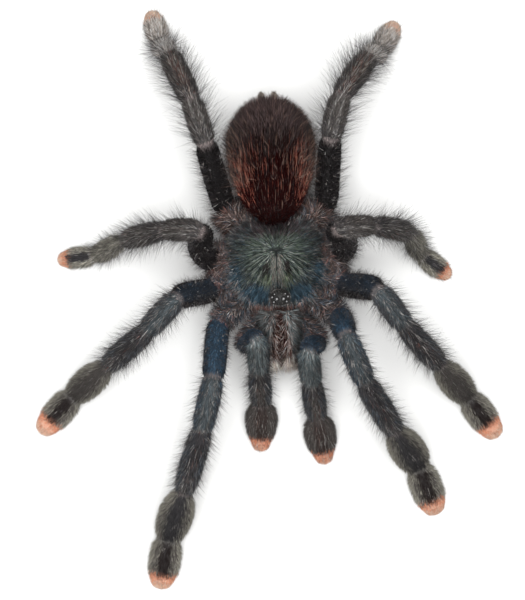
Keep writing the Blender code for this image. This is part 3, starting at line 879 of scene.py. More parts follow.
class Abdomen(Tube):
    """The abdomen, with the waist that carries it."""

    def __init__(self):
        table = np.array(ABDOMEN)
        table[:, 0] -= np.maximum(table[:, 0] - REAR_FROM, 0.0) * REAR_SHORTER
        y = np.linspace(table[0, 0], table[-1, 0], 140)
        width, height, rise = (
            softened(y, table[:, 0], table[:, k], ABDOMEN_SOFTENED, 7) for k in (1, 2, 3)
        )
        line = np.column_stack((np.zeros_like(y), y, height))
        super().__init__(y, line, width * ABDOMEN_SKIN, rise * ABDOMEN_SKIN)

    def lie(self, along, turn):
        """The hair lies straight back as seen from above, whatever the slope."""
        _, _, out = super().lie(along, turn)
        level = np.abs(out[..., 2])
        climb = -np.sign(out[..., 2]) * out[..., 1]
        straight = np.stack((np.zeros_like(level), level, climb), -1)
        back = np.array((0.0, 1.0, 0.0)) - out * out[..., 1:2]
        comb = unit(straight + 0.1 * back)
        return comb, np.cross(out, comb), out

    def zones(self, along, turn):
        aside = np.abs(self.point(along, turn)[..., 0])
        places = {
            "front": 1.0 - step_up(along, 17.0, 24.0),
            "back": (1.0 - step_up(aside, 2.5, 5.0)) * (1.0 - step_up(along, 20.0, 25.0)),
            "flanks": step_up(aside, 6.2, 7.8) * step_up(along, 9.0, 14.0),
            "front_flanks": step_up(aside, 6.0, 7.5) * (1.0 - step_up(along, 12.0, 15.0)),
            "below": step_up(-np.sin(turn), 0.1, 0.5),
        }
        shares = Shares(len(along))
        shares.add("rear", 1.0)
        return shares.paint(ABDOMEN_PAINT, places)

    def red_zones(self, along, turn):
        """The colours of the long hairs: red along the flanks, nearly black elsewhere."""
        aside = np.abs(self.point(along, turn)[..., 0])
        flank = np.exp(-(((aside - 5.6) / 1.7) ** 2)) * step_up(along, 7.5, 13.0)
        front = 1.0 - step_up(along, 15.0, 21.0)
        places = {
            "all": 1.0,
            "front": front,
            "red_flanks": front * (0.03 * step_up(along, 8.0, 12.0) + 0.38 * flank),
            "sides": step_up(aside, 6.4, 8.0),
        }
        shares = Shares(len(along))
        shares.add("umber_dark", 1.0)
        return shares.paint(RED_HAIR_PAINT, places)


class Jaw(Tube):
    """A chelicera."""

    def __init__(self, side):
        self.side = side
        table = np.array(CHELICERA)
        part = np.linspace(0.0, 1.0, 60)
        at = np.linspace(0.0, 1.0, len(table))
        width, height = (softened(part, at, table[:, k], JAW_SOFTENED) for k in (2, 3))
        y, z = np.interp(part, at, table[:, 0]), np.interp(part, at, table[:, 1])
        line = np.column_stack((np.full_like(y, side * CHELICERA_AT), y, z))
        travel = np.concatenate(([0.0], np.cumsum(np.linalg.norm(np.diff(line, axis=0), axis=1))))
        super().__init__(travel, line, width * JAW_SKIN, height * JAW_SKIN)

    def zones(self, along, turn):
        x = self.point(along, turn)[..., 0] * self.side
        below = -np.sin(turn)
        inner = 1.0 - step_up(x - (1.0 + 0.15 * along), -0.25, 0.35)
        places = {
            "scattered": 0.03 + inner * 0.05,
            "root": (1.0 - step_up(along, 1.5, 4.0)) * (1.0 - inner),
            "end": step_up(along, 8.6, 10.2),
            "below": step_up(below, 0.1, 0.6),
            "lip": step_up(along, 9.4, 10.4) * step_up(below, -0.4, 0.3),
        }
        shares = Shares(len(along))
        shares.add("storm", (1.0 - inner) * 0.8)
        shares.add("stripe", (1.0 - inner) * 0.2)
        shares.add("red_dark", inner * 0.7)
        shares.add("umber_dark", inner * 0.3)
        return shares.paint(JAW_PAINT, places)


class Shares:
    """How much of each colour there is at each place. The shares at a place add up to 1."""

    def __init__(self, count):
        self.table = np.zeros((count, len(KINDS)))

    def add(self, colour, share):
        self.table[:, KINDS.index(colour)] += share

    def mix(self, colour, share):
        """Puts this colour over the others, which keep the rest of the place."""
        self.table *= 1.0 - np.reshape(share, (-1, 1))
        self.table[:, KINDS.index(colour)] += share

    def paint(self, rows, places):
        """Lays colours over each other, each so much of it in the place that its row names."""
        for colour, place, amount in rows:
            self.mix(colour, places[place] * amount)
        return self.table


def mixture(**amounts):
    """Hair of these colours, mixed alike at every place."""
    def zones(along, turn):
        shares = Shares(len(along))
        for colour, amount in amounts.items():
            shares.add(colour, amount)
        return shares.table
    return zones


# Meshes


def palette():
    """The colours in use, one row for each kind of hair."""
    colours = bpy.context.scene.tarantula_colours
    return np.array([getattr(colours, kind)[:] for kind in KINDS])


def mesh_object(name, points, faces, uv, tint, finish):
    """An object from arrays: points in millimetres from the body's middle, and faces of three corners."""
    mesh = bpy.data.meshes.new(name)
    mesh.vertices.add(len(points))
    mesh.vertices.foreach_set("co", ((points + BODY_AT) * MM).astype(np.float32).ravel())
    mesh.loops.add(faces.size)
    mesh.loops.foreach_set("vertex_index", faces.astype(np.int32).ravel())
    mesh.polygons.add(len(faces))
    mesh.polygons.foreach_set("loop_start", np.arange(0, faces.size, 3, dtype=np.int32))
    mesh.update(calc_edges=True)
    layer = mesh.uv_layers.new(name="OFBake")
    layer.uv.foreach_set("vector", uv.astype(np.float32).ravel())
    colour = mesh.color_attributes.new("tint", "FLOAT_COLOR", "POINT")
    rgba = np.column_stack((tint, np.ones(len(tint))))
    colour.data.foreach_set("color", rgba.astype(np.float32).ravel())
    mesh.shade_smooth()
    mesh.materials.append(finish_named(finish))
    made = bpy.data.objects.new(name, mesh)
    bpy.context.scene.collection.objects.link(made)
    return made


def skin_mesh(name, rings, tint, finish):
    """A closed skin over rings of points, gathered to a point at both ends."""
    count, sides = rings.shape[:2]
    points = np.concatenate((rings.reshape(-1, 3), [rings[0].mean(0), rings[-1].mean(0)]))
    tint = np.concatenate((tint.reshape(-1, 3), [tint[0].mean(0), tint[-1].mean(0)]))
    low = np.arange(sides)
    high = (low + 1) % sides
    faces, places = [], []
    for k in range(count - 1):
        near, far = k * sides, (k + 1) * sides
        faces.append(np.stack((near + low, far + low, far + high, near + high), -1))
        row = np.stack((low / sides, low / sides, (low + 1) / sides, (low + 1) / sides), -1)
        up = np.tile(((k + 1) / (count + 1), (k + 2) / (count + 1)) * 2, (sides, 1))
        up[:, 2], up[:, 3] = up[:, 1].copy(), up[:, 0].copy()
        places.append(np.stack((row, up), -1))
    body = np.concatenate(faces)
    split = np.concatenate((body[:, (0, 1, 2)], body[:, (0, 2, 3)]))
    uv = np.concatenate(places)
    uv = np.concatenate((uv[:, (0, 1, 2)], uv[:, (0, 2, 3)]))
    first, last = count * sides, (count - 1) * sides
    start_cap = np.stack((low, high, np.full(sides, first)), -1)
    end_cap = np.stack((last + high, last + low, np.full(sides, first + 1)), -1)
    edge, tall = np.stack((low, low + 1, low + 0.5), -1) / sides, 1 / (count + 1)
    start_uv = np.stack((edge, np.tile((tall, tall, 0.0), (sides, 1))), -1)
    end_uv = np.stack((edge[:, (1, 0, 2)], np.tile((1 - tall, 1 - tall, 1.0), (sides, 1))), -1)
    return mesh_object(
        name, points, np.concatenate((split, start_cap, end_cap)),
        np.concatenate((uv, start_uv, end_uv)), tint, finish,
    )


def skin_tint(surface, along, turn, shade):
    """The mixed colour of the hair at each place, so much darker."""
    shares = surface.zones(along.ravel(), turn.ravel())
    return (shares @ palette()).reshape(*along.shape, 3) * shade


def add_skin(surface, kind, name, finish, slot, *nodes):
    """The skin of a piece, as the table of skins gives it."""
    size, shade = SKINS[kind]
    along, turn, rings = surface.rings(*size)
    settle(skin_mesh(name, rings, skin_tint(surface, along, turn, shade), finish), slot, *nodes)


class Fur:
    """The hair of one piece: three-sided spikes, gathered and made into one mesh."""

    def __init__(self, name, fade=(0.5, 1.2)):
        self.name = name
        # fade: brightness of each hair at its root and at its tip. The dark roots are painted shade, where
        # the hairs shade each other and the skin
        self.fade = fade
        self.rng = np.random.default_rng(sum(k * ord(letter) for k, letter in enumerate(name, 1)))
        self.lock_table = self.rng.uniform(-1.0, 1.0, (LOCKS, 3))
        self.points, self.faces, self.tints, self.places = [], [], [], []
        self.total = 0

    def scatter(self, surface, count, density):
        """Places on a surface, evenly by area times density."""
        edges = np.linspace(surface.start, surface.end, 141)
        turns = np.linspace(0.0, 2 * math.pi, 61)
        grid = surface.point(*np.meshgrid(edges, turns, indexing="ij"))
        first, second = grid[1:, 1:] - grid[:-1, :-1], grid[1:, :-1] - grid[:-1, 1:]
        area = np.linalg.norm(np.cross(first, second), axis=-1)
        middle = np.meshgrid((edges[1:] + edges[:-1]) / 2, (turns[1:] + turns[:-1]) / 2, indexing="ij")
        weight = (area * density(*middle)).ravel()
        cell = self.rng.choice(weight.size, count, p=weight / weight.sum())
        row, column = np.divmod(cell, area.shape[1])
        along = edges[row] + self.rng.random(count) * (edges[1] - edges[0])
        turn = turns[column] + self.rng.random(count) * (turns[1] - turns[0])
        return along, turn

    def lock(self, along, turn, size):
        """Three numbers from -1 to 1 that hairs of one lock share: aside, rise and shade."""
        jitter = self.rng.normal(0.0, size[2], (2, len(along)))
        row = np.floor(along / size[0] + jitter[0]).astype(int)
        column = np.floor(turn / size[1] + jitter[1]).astype(int)
        return self.lock_table[(row * 71 + column * 389) % LOCKS]

    def grow(self, surface, count, density, length, rise, radius, spread=0.14, lock=(1.4, 0.5, 0.2),
             sway=(0.22, 7.0, 0.9), sink=0.12, zones=None, shade=0.0, lengths=(0.72, 1.22), contrast=1.35):
        """Hair on a surface. Length, rise, spread and contrast may depend on the place.

        Hairs of one lock share how far they sway aside, how much they rise and how bright they are.
        """
        along, turn = self.scatter(surface, count, density)
        comb, side, out = surface.lie(along, turn)
        shared = self.lock(along, turn, lock)
        length, rise, spread, contrast = (
            value(along, turn) if callable(value) else value for value in (length, rise, spread, contrast)
        )
        lift = np.radians(rise + sway[1] * shared[:, 1])[:, None]
        aims = comb * np.cos(lift) + out * np.sin(lift) + side * (sway[0] * shared[:, :1])
        aims = unit(aims + self.rng.normal(0.0, 1.0, aims.shape) * np.reshape(spread, (-1, 1)))
        reach = length * self.rng.uniform(*lengths, count)
        shares = (zones or surface.zones)(along, turn)
        cumulative = np.cumsum(shares / shares.sum(1, keepdims=True), axis=1)
        kinds = (cumulative < self.rng.random((count, 1))).sum(1).clip(0, len(KINDS) - 1)
        levels = USUAL_LEVEL + shade + contrast * self.rng.normal(size=count)
        levels = levels + contrast * sway[2] * shared[:, 2]
        levels = np.rint(levels).astype(int).clip(0, len(LEVELS) - 1)
        roots = surface.point(along, turn) - out * sink
        self.add(roots, aims, reach, radius, kinds, levels)

    def add(self, roots, aims, lengths, radius, kinds, levels):
        """Spikes from these roots: three corners at the root and a tip."""
        count = len(roots)
        radii = radius * self.rng.uniform(0.8, 1.2, count)[:, None, None]
        side = unit(np.cross(aims, self.rng.normal(size=aims.shape)))
        other = np.cross(aims, side)
        turns = np.radians((0.0, 120.0, 240.0))[:, None]
        circle = side[:, None] * np.cos(turns) + other[:, None] * np.sin(turns)
        tips = roots + aims * lengths[:, None]
        points = np.concatenate((roots[:, None] + circle * radii, tips[:, None]), axis=1)
        points[..., 2] = np.maximum(points[..., 2], FLOOR_GAP)
        faces = self.total + np.arange(count)[:, None, None] * SPIKE_CORNERS + np.array(SPIKE)
        # Painted shade: each hair is darker towards its root, where the hairs shade each other
        fade = self.fade[0] + (self.fade[1] - self.fade[0]) * SPIKE_PART
        base = palette()[kinds] * LEVELS[levels][:, None]
        column, row = np.divmod(kinds * len(LEVELS) + levels, TILES)
        u = (column[:, None] + 0.1 + 0.8 * SPIKE_PART) / TILES
        v = (row[:, None] + SPIKE_WIDTH) / TILES
        self.points.append(points.reshape(-1, 3))
        self.faces.append(faces.reshape(-1, 3))
        self.tints.append((base[:, None] * fade[:, None]).reshape(-1, 3))
        self.places.append(np.stack((u, v), -1).reshape(-1, 2))
        self.total += count * SPIKE_CORNERS

    def make(self, finish, slot):
        """One mesh of all that has grown."""
        faces = np.concatenate(self.faces)
        places = np.concatenate(self.places)[faces.ravel()]
        tint = np.clip(np.concatenate(self.tints), 0.0, 1.0)
        settle(mesh_object(self.name, np.concatenate(self.points), faces, places, tint, finish), slot)


def settle(piece, slot, *nodes):
    """Every piece is part of the one body; a skin stands for its solid."""
    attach(piece, "root")
    if nodes:
        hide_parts(*nodes)


def less_below(along, turn):
    """Thinner hair on the underside."""
    return 0.28 + 0.72 * step_up(np.sin(turn), -0.7, 0.1)


def radii():
    """Half the thickness of a short hair and of a long one, in millimetres."""
    hair = bpy.context.scene.tarantula_hair
    return hair.coat_radius / MM, hair.bristle_radius / MM


# Pieces

PALE_MIX = mixture(pale=0.85, fawn=0.15)


def near_joints(limb, along):
    """0 at the limb's joints, 1 away from them."""
    _, past = limb.joint(along)
    return step_up(np.abs(past), 0.1, 1.1)


def limb_rise(limb, short, along, turn):
    """More at the flanks than on the back. Over the rounded end of the tarsus it points straight ahead."""
    rise = short[1](along, turn) + (short[2](along, turn) - short[1](along, turn)) * np.abs(np.cos(turn))
    past = np.clip(1.0 - (limb.end - along) / ROUND_END, 0.0, 1.0)
    return rise * (1.0 - past) + 90.0 * past**1.5


def at_end(limb, along):
    """1 over the rounded end of the tarsus, 0 before it."""
    return step_up(along, limb.end - ROUND_END, limb.end - 0.4)


def on_tip(limb, along):
    """1 on the toe tuft, 0 before it."""
    number, part = limb.segment(along)
    return (number == len(limb.parts) - 1) * step_up(part - TIP_START[limb.pair], -0.1, 0.12)


def lighter_skin(limb, along):
    """The skin is lighter under the pale hair of the hind feet, and under the toe tuft, where the lightening
    is painted light for the glow of the translucent tuft.
    """
    number, _ = limb.segment(along)
    return 1.0 + 0.4 * on_tip(limb, along) + 0.6 * (number == 4) * (limb.pair == 4)


def dress_limb(name, coat_count, bristle_count):
    """Skin, coat and bristles of one leg or palp."""
    limb = Limb(name)
    along, turn, rings = limb.rings(int(limb.end / LIMB_RING_STEP), LIMB_CORNERS)
    # Lighter under the toe tuft: painted light for the glow through the translucent tuft
    tint = skin_tint(limb, along, turn, LIMB_SHADE) * lighter_skin(limb, along)[..., None]
    settle(skin_mesh(f"{name}_skin", rings, tint, "limb_skin"), "limb_coat", name)
    grow_limb_coat(limb, name, coat_count)
    grow_limb_bristles(limb, name, bristle_count)


def grow_limb_coat(limb, name, count):
    """The short coat, and the dense tuft over the end of the tarsus."""
    thick, _ = radii()
    short = [limb.by_segment(SHORT_HAIR, BRUSH_HAIR, k) for k in range(6)]

    def at_coxa(along):
        return 1.0 + (limb.segment(along)[0] == 0) * COXA_TUFT[limb.pair]

    def density(along, turn):
        sparse = 0.75 + 0.25 * near_joints(limb, along)
        return short[3](along, turn) * less_below(along, turn) * sparse * at_coxa(along)

    def length(along, turn):
        shorter = 0.8 + 0.2 * near_joints(limb, along)
        return short[0](along, turn) * shorter * at_coxa(along) * (1.0 - 0.5 * on_tip(limb, along))

    def rise(along, turn):
        return limb_rise(limb, short, along, turn)

    coat = Fur(f"{name}_coat", fade=(0.35, 1.35))
    coat.grow(
        limb, count, density=density, length=length, rise=rise, radius=thick, spread=short[4],
        lock=(1.2, 0.13, 0.15), sway=(0.04, 3.0, 1.25),
        contrast=lambda a, t: short[5](a, t) * (1.0 - 0.7 * on_tip(limb, a)),
    )
    # Less painted shade at the tuft's roots, so the translucent tuft looks lit through
    coat.fade = TIP_FADE
    coat.grow(
        limb, int(count * TUFT_HAIRS), density=lambda a, t: on_tip(limb, a),
        length=lambda a, t: 0.4 + 0.25 * at_end(limb, a), rise=rise, radius=thick * 0.8, spread=0.08,
        sway=(0.0, 3.0, 0.1), shade=0.1, contrast=0.7, lengths=(0.85, 1.1),
    )
    coat.make("limb_hair", "limb_coat")


def grow_limb_bristles(limb, name, count):
    """The long bristles that stand off the limb, and the pale hairs that lie along its back, partly painted
    glints of light on the top of the limb.
    """
    _, thin = radii()
    long = [limb.by_segment(LONG_HAIR, BRUSH_LONG_HAIR, k) for k in range(3)]
    stray = [limb.by_segment(STRAY_HAIR, BRUSH_STRAY if limb.pair else PALP_STRAY, k) for k in range(3)]
    bristles = Fur(f"{name}_bristles", fade=(0.6, 1.0))
    bristles.grow(
        limb, count, density=lambda a, t: long[2](a, t) * beside(t),
        length=lambda a, t: long[0](a, t) * BRISTLE_REACH[limb.pair], rise=long[1],
        radius=thin * BRISTLE_WIDTH[limb.pair], spread=0.21, sway=(0.0, 3.0, 0.2),
        zones=mixture(seta=0.35, soot=0.62, pale=0.03), lengths=(0.2, 1.2),
    )
    # Pale hairs on the upper side only: partly real pale hairs, partly painted glints where light catches
    # the hair
    bristles.grow(
        limb, int(count * STRAY_HAIRS[limb.pair]),
        density=lambda a, t: stray[2](a, t) * step_up(np.sin(t), 0.1, 0.6), length=stray[0],
        rise=stray[1], radius=thin * 0.62, spread=0.12, sway=(0.05, 3.0, 0.2), zones=PALE_MIX,
        shade=0.6, lengths=(0.4, 1.4), contrast=0.8,
    )
    bristles.make("limb_bristle", "limb_coat")


def beside(turn):
    """More hair at the flanks than on the back, and less below."""
    return (0.15 + 0.85 * np.abs(np.cos(turn))) * (0.4 + 0.6 * step_up(np.sin(turn), -0.7, 0.0))


class TARANTULA_OT_legs(Operator):
    """Skin, short coat and long bristles of the eight legs"""

    bl_idname = "tarantula.legs"
    bl_label = "Legs"

    def execute(self, context):
        hair = context.scene.tarantula_hair
        for name in POSE:
            if name.startswith("leg"):
                dress_limb(name, hair.leg_coat, hair.leg_bristles)
        return {"FINISHED"}


class TARANTULA_OT_palps(Operator):
    """Skin, coat and bristles of the two palps"""

    bl_idname = "tarantula.palps"
    bl_label = "Palps"

    def execute(self, context):
        hair = context.scene.tarantula_hair
        for name in POSE:
            if name.startswith("pedipalp"):
                dress_limb(name, hair.palp_coat, hair.palp_bristles)
        return {"FINISHED"}


def sternum_ring(height, part, turns):
    """An oval below the head and legs, of so much of the sternum's size."""
    centre, half_width, half_length = STERNUM
    x = half_width * part * np.sin(turns)
    y = centre - half_length * part * np.cos(turns)
    return np.stack((x, y, np.full_like(x, height)), -1)


class TARANTULA_OT_carapace(Operator):
    """Carapace with its pit and grooves, its velvet and the bristles round its rim"""

    bl_idname = "tarantula.carapace"
    bl_label = "Carapace"

    def execute(self, context):
        hair = context.scene.tarantula_hair
        shell = Carapace()
        self.add_shell(shell)
        self.grow_velvet(shell, hair.carapace_coat)
        self.grow_bristles(shell, hair.carapace_bristles)
        return {"FINISHED"}

    def add_shell(self, shell):
        """The domed top, its rim, and the sternum closed below."""
        size, shade = SKINS["carapace"]
        along, turn, top = shell.rings(*size)
        turns = turn[0]
        edge = shell.point(np.ones_like(turns), turns)
        rings = [top, [edge * (0.97, 0.97, 1.0) - (0.0, 0.0, ROOF_THICKNESS)]]
        rings += [[sternum_ring(height, part, turns)] for height, part in STERNUM_RINGS]
        rings = np.concatenate(rings)
        under = palette()[KINDS.index("belly")] * shade
        below = np.tile(under, (len(rings) - len(top), len(turns), 1))
        tint = np.concatenate((skin_tint(shell, along, turn, shade), below))
        skin = skin_mesh("carapace_skin", rings, tint, "carapace_skin_finish")
        settle(skin, "carapace", "cephalothorax")

    def grow_velvet(self, shell, count):
        """Short velvet in fine streaks, with paler hairs that lie over it."""
        thick, _ = radii()
        coat = Fur("carapace_velvet", fade=(0.4, 1.3))
        coat.grow(
            shell, count,
            density=lambda a, t: (1.0 + 0.5 * step_up(a, 0.7, 0.9)) * off_mound(shell, a, t),
            length=lambda a, t: 0.8 + 0.4 * a, rise=lambda a, t: 8.0 + 8.0 * a, radius=thick * 0.7,
            spread=lambda a, t: 0.04 + 0.2 * step_up(a, 0.5, 0.8), lock=(0.13, 0.022, 0.15),
            sway=(0.1, 2.0, 1.6), sink=0.05,
            contrast=lambda a, t: 1.3 - 0.55 * step_up(np.cos(t), 0.93, 0.985),
        )
        coat.grow(
            shell, int(count * PALE_VELVET), density=lambda a, t: step_up(a, 0.2, 0.35), length=1.5,
            rise=14.0, radius=thick * 0.55, spread=0.12, lock=(0.3, 0.03, 0.1), sway=(0.12, 3.0, 1.0),
            sink=0.05, shade=1.1,
        )
        coat.make("velvet", "carapace")

    def grow_bristles(self, shell, count):
        """Bristles round the rim, pale ones among them, and the brow over the jaws."""
        _, thin = radii()
        bristles = Fur("carapace_bristles", fade=(0.7, 1.4))
        bristles.grow(
            shell, count, density=rim_density,
            length=lambda a, t: 2.2 - 0.6 * step_up(-np.cos(t), -0.3, 0.5), rise=20.0, radius=thin,
            spread=0.36, zones=mixture(umber=0.25, storm=0.4, sea=0.15, fawn=0.2),
            sway=(0.2, 8.0, 0.4), lengths=(0.4, 1.3), shade=0.3,
        )
        bristles.grow(
            shell, int(count * PALE_RIM), density=rim_density, length=0.9, rise=25.0, radius=thin,
            spread=0.45, zones=PALE_MIX, lengths=(0.5, 1.4), contrast=1.0,
        )
        bristles.grow(
            shell, count, density=lambda a, t: step_up(a, 0.93, 0.98) * step_up(np.cos(t), 0.88, 0.95),
            length=2.0, rise=34.0, radius=thin * 1.2, spread=0.25,
            zones=mixture(umber=0.45, fawn=0.3, rust=0.25), lengths=(0.4, 1.3),
        )
        bristles.make("rim_bristle", "carapace")


def off_mound(shell, along, turn):
    """0 at the eye mound, 1 away from it."""
    x, y = shell.flat_place(along, turn)
    away = np.hypot((x - MOUND_AT[0]) / MOUND_SIZE[0], (y - MOUND_AT[1] - 0.2) / MOUND_SIZE[1])
    return step_up(away, 1.0, 1.25)


def rim_density(along, turn):
    """Bristles only near the rim, and most over the jaws."""
    return step_up(along, 0.84, 0.98) * (1.0 + 0.8 * step_up(np.cos(turn), 0.75, 0.95))


class Dome(Skin):
    """The rounded top of the eye mound or of an eye."""

    start, end = 0.04, 1.25

    def __init__(self, at, size, colour):
        self.at = np.array(at)
        self.size = size
        self.colour = colour

    def point(self, along, turn):
        low = along * QUARTER
        x = self.size[0] * np.sin(low) * np.sin(turn)
        y = -self.size[1] * np.sin(low) * np.cos(turn)
        return self.at + np.stack((x, y, self.size[2] * np.cos(low)), -1)

    def zones(self, along, turn):
        shares = Shares(len(along))
        shares.add(self.colour, 1.0)
        shares.mix("black", 0.4)
        shares.mix("pale", 0.15 + 0.5 * step_up(along, 0.55, 0.9))
        return shares.table


class TARANTULA_OT_eyes(Operator):
    """The eye mound with its bristles, and the eight eyes"""

    bl_idname = "tarantula.eyes"
    bl_label = "Eyes"

    def execute(self, context):
        thick, _ = radii()
        mound = Dome(MOUND_AT, MOUND_SIZE, "groove")
        add_skin(mound, "eye_mound", "eye_mound", "carapace_skin_finish", "carapace")
        fuzz = Fur("eye_mound_bristles", fade=(0.8, 1.4))
        fuzz.grow(
            mound, context.scene.tarantula_hair.mound_fuzz,
            density=lambda a, t: (1.0 - step_up(a, 1.0, 1.1)) * off_eyes(mound, a, t), length=0.55,
            rise=25.0, radius=thick * 0.5, spread=0.3, contrast=2.1,
        )
        fuzz.make("rim_bristle", "carapace")
        black = np.tile(linear(EYE_COLOUR), (*LENS_SIZE, 1))
        for side_name, side in SIDES:
            for number, (across, back, radius) in enumerate(EYES, 1):
                inside = 1.0 - (across / MOUND_SIZE[0]) ** 2 - (back / MOUND_SIZE[1]) ** 2
                lift = MOUND_SIZE[2] * math.sqrt(max(0.0, inside))
                at = (MOUND_AT[0] + side * across, MOUND_AT[1] + back, MOUND_AT[2] + lift + 0.1 * radius)
                _, _, rings = Dome(at, (radius, radius, 0.65 * radius), "groove").rings(*LENS_SIZE)
                settle(skin_mesh(f"eye_{side_name}_{number}", rings, black, "eye_lens"), "carapace")
        return {"FINISHED"}


def off_eyes(mound, along, turn):
    """0 on the eyes, 1 between them."""
    place = mound.point(along, turn) - mound.at
    clear = np.ones(along.shape)
    for across, back, radius in EYES:
        away = np.hypot(np.abs(place[..., 0]) - across, place[..., 1] - back)
        clear = clear * step_up(away, 1.0 * radius, 1.5 * radius)
    return clear


class TARANTULA_OT_abdomen(Operator):
    """The abdomen's skin, its short coat and its long red hairs"""

    bl_idname = "tarantula.abdomen"
    bl_label = "Abdomen"

    def execute(self, context):
        hair = context.scene.tarantula_hair
        belly = Abdomen()
        thick, thin = radii()
        add_skin(belly, "abdomen", "abdomen_skin", "abdomen_skin_finish", "abdomen_coat", "abdomen")

        coat = Fur("abdomen_coat", fade=(0.4, 1.3))
        coat.grow(
            belly, hair.abdomen_coat, density=lambda a, t: less_below(a, t) * step_up(a, 5.0, 7.0),
            length=lambda a, t: 1.4 + 0.5 * step_up(a, 20.0, 26.0),
            rise=lambda a, t: 18.0 + 36.0 * step_up(a, 21.0, 26.5) + 14.0 * np.abs(np.cos(t)),
            radius=thick * 0.9, spread=lambda a, t: 0.1 + 0.12 * step_up(a, 20.0, 25.0),
            lock=(1.6, 0.04, 0.15), sway=(0.05, 5.0, 0.8), lengths=(0.5, 1.4),
        )
        coat.make("abdomen_hair", "abdomen_coat")

        long_hair = Fur("abdomen_bristles", fade=(0.3, 1.4))
        long_hair.grow(
            belly, hair.abdomen_bristles, density=long_red_density,
            length=lambda a, t: 4.4 - 1.8 * step_up(a, 18.0, 24.0),
            rise=lambda a, t: 8.0 + 29.0 * step_up(a, 22.0, 27.0), radius=thin * 0.85, spread=0.035,
            lock=(3.0, 0.025, 0.1), sway=(0.05, 4.0, 1.0), zones=belly.red_zones, shade=0.3,
            lengths=(0.5, 1.15), contrast=lambda a, t: 0.6 + 0.7 * step_up(a, 9.0, 14.0),
        )
        long_hair.grow(
            belly, hair.abdomen_bristles, density=fringe_density,
            length=lambda a, t: 3.2 - 1.0 * step_up(a, 20.0, 25.0),
            rise=lambda a, t: 40.0 + 20.0 * step_up(a, 20.0, 26.0), radius=thin * 0.85, spread=0.26,
            sway=(0.1, 8.0, 0.3), zones=mixture(umber_dark=0.45, seta=0.35, dust=0.2), lengths=(0.3, 1.3),
        )
        long_hair.make("abdomen_bristle", "abdomen_coat")
        return {"FINISHED"}


def long_red_density(along, turn):
    """All over the back, thinning towards the rear."""
    rear = 1.0 - 0.7 * step_up(along, 17.0, 23.0)
    return step_up(along, 6.0, 8.5) * rear * step_up(np.sin(turn), -0.5, 0.1)


def fringe_density(along, turn):
    """Loose bristles, mostly along the flanks and over the rear end."""
    flank = step_up(np.abs(np.cos(turn)), 0.5, 0.9) + step_up(along, 22.0, 27.0)
    front = (0.08 + 0.92 * step_up(along, 10.0, 16.0)) * step_up(along, 6.5, 9.0)
    return front * (0.2 + flank) * less_below(along, turn)


class TARANTULA_OT_jaws(Operator):
    """The two chelicerae with their coat and fringe, and the fangs folded under them"""

    bl_idname = "tarantula.jaws"
    bl_label = "Jaws and fangs"

    def execute(self, context):
        hair = context.scene.tarantula_hair
        for side_name, side in SIDES:
            self.add_jaw(f"chelicera_{side_name}", Jaw(side), hair.jaw_coat, hair.jaw_bristles)
            self.add_fang(f"fang_{side_name}", side)
        return {"FINISHED"}

    def add_jaw(self, name, jaw, coat_count, bristle_count):
        """One chelicera, its coat, the bristles down its middle and the fringe at its end."""
        thick, thin = radii()
        add_skin(jaw, "jaw", f"{name}_skin", "jaw_skin", "jaw_coat", name)
        coat = Fur(f"{name}_coat")
        coat.grow(
            jaw, coat_count, density=less_below, length=lambda a, t: 1.3 + 1.1 * np.abs(np.cos(t)),
            rise=lambda a, t: 24.0 + 30.0 * np.abs(np.cos(t)) + 40.0 * (1.0 - step_up(a, 0.4, 2.4)),
            radius=thick * 0.85, spread=0.14, lock=(1.2, 0.2, 0.2),
        )
        coat.make("jaw_hair", "jaw_coat")
        bristles = Fur(f"{name}_bristles", fade=(0.7, 1.4))
        bristles.grow(
            jaw, bristle_count, density=lambda a, t: middle_first(jaw, a, t), length=2.2, rise=26.0,
            radius=thin * 1.1, spread=0.3, shade=0.9, sway=(0.3, 6.0, 0.4),
            zones=mixture(fawn=0.45, pale=0.4, rust=0.15), lengths=(0.4, 1.3),
        )
        bristles.grow(
            jaw, int(bristle_count * FRINGE), density=lambda a, t: step_up(a, 7.8, 9.4), length=2.9,
            rise=26.0, radius=thin * 1.3, spread=0.2, shade=1.5, zones=mixture(cream=0.7, fawn=0.3),
            lengths=(0.5, 1.25),
        )
        bristles.make("jaw_bristle", "jaw_coat")

    def add_fang(self, name, side):
        """One fang, redder towards its tip."""
        part, at = np.linspace(0.0, 1.0, FANG_SIZE[0]), np.linspace(0.0, 1.0, len(FANG))
        y, z, radius = (softened(part, at, column, FANG_SOFTENED) for column in zip(*FANG))
        line = np.column_stack((np.full_like(y, side * CHELICERA_AT), y, z))
        _, _, rings = Tube(part, line, radius, radius).rings(*FANG_SIZE)
        root, tip = np.array(linear(FANG_ROOT)), np.array(linear(FANG_TIP))
        tint = np.broadcast_to(root + (tip - root) * part[:, None, None], (*FANG_SIZE, 3))
        settle(skin_mesh(f"{name}_horn", rings, tint, "fang_horn"), "fang", name)


def middle_first(jaw, along, turn):
    """More of the bristles beside the line where the jaws meet."""
    inner = 1.0 - step_up(np.abs(jaw.point(along, turn)[..., 0]) - 0.17 * along, 0.6, 1.6)
    return (0.3 + inner) * step_up(np.sin(turn), -0.6, 0.0)


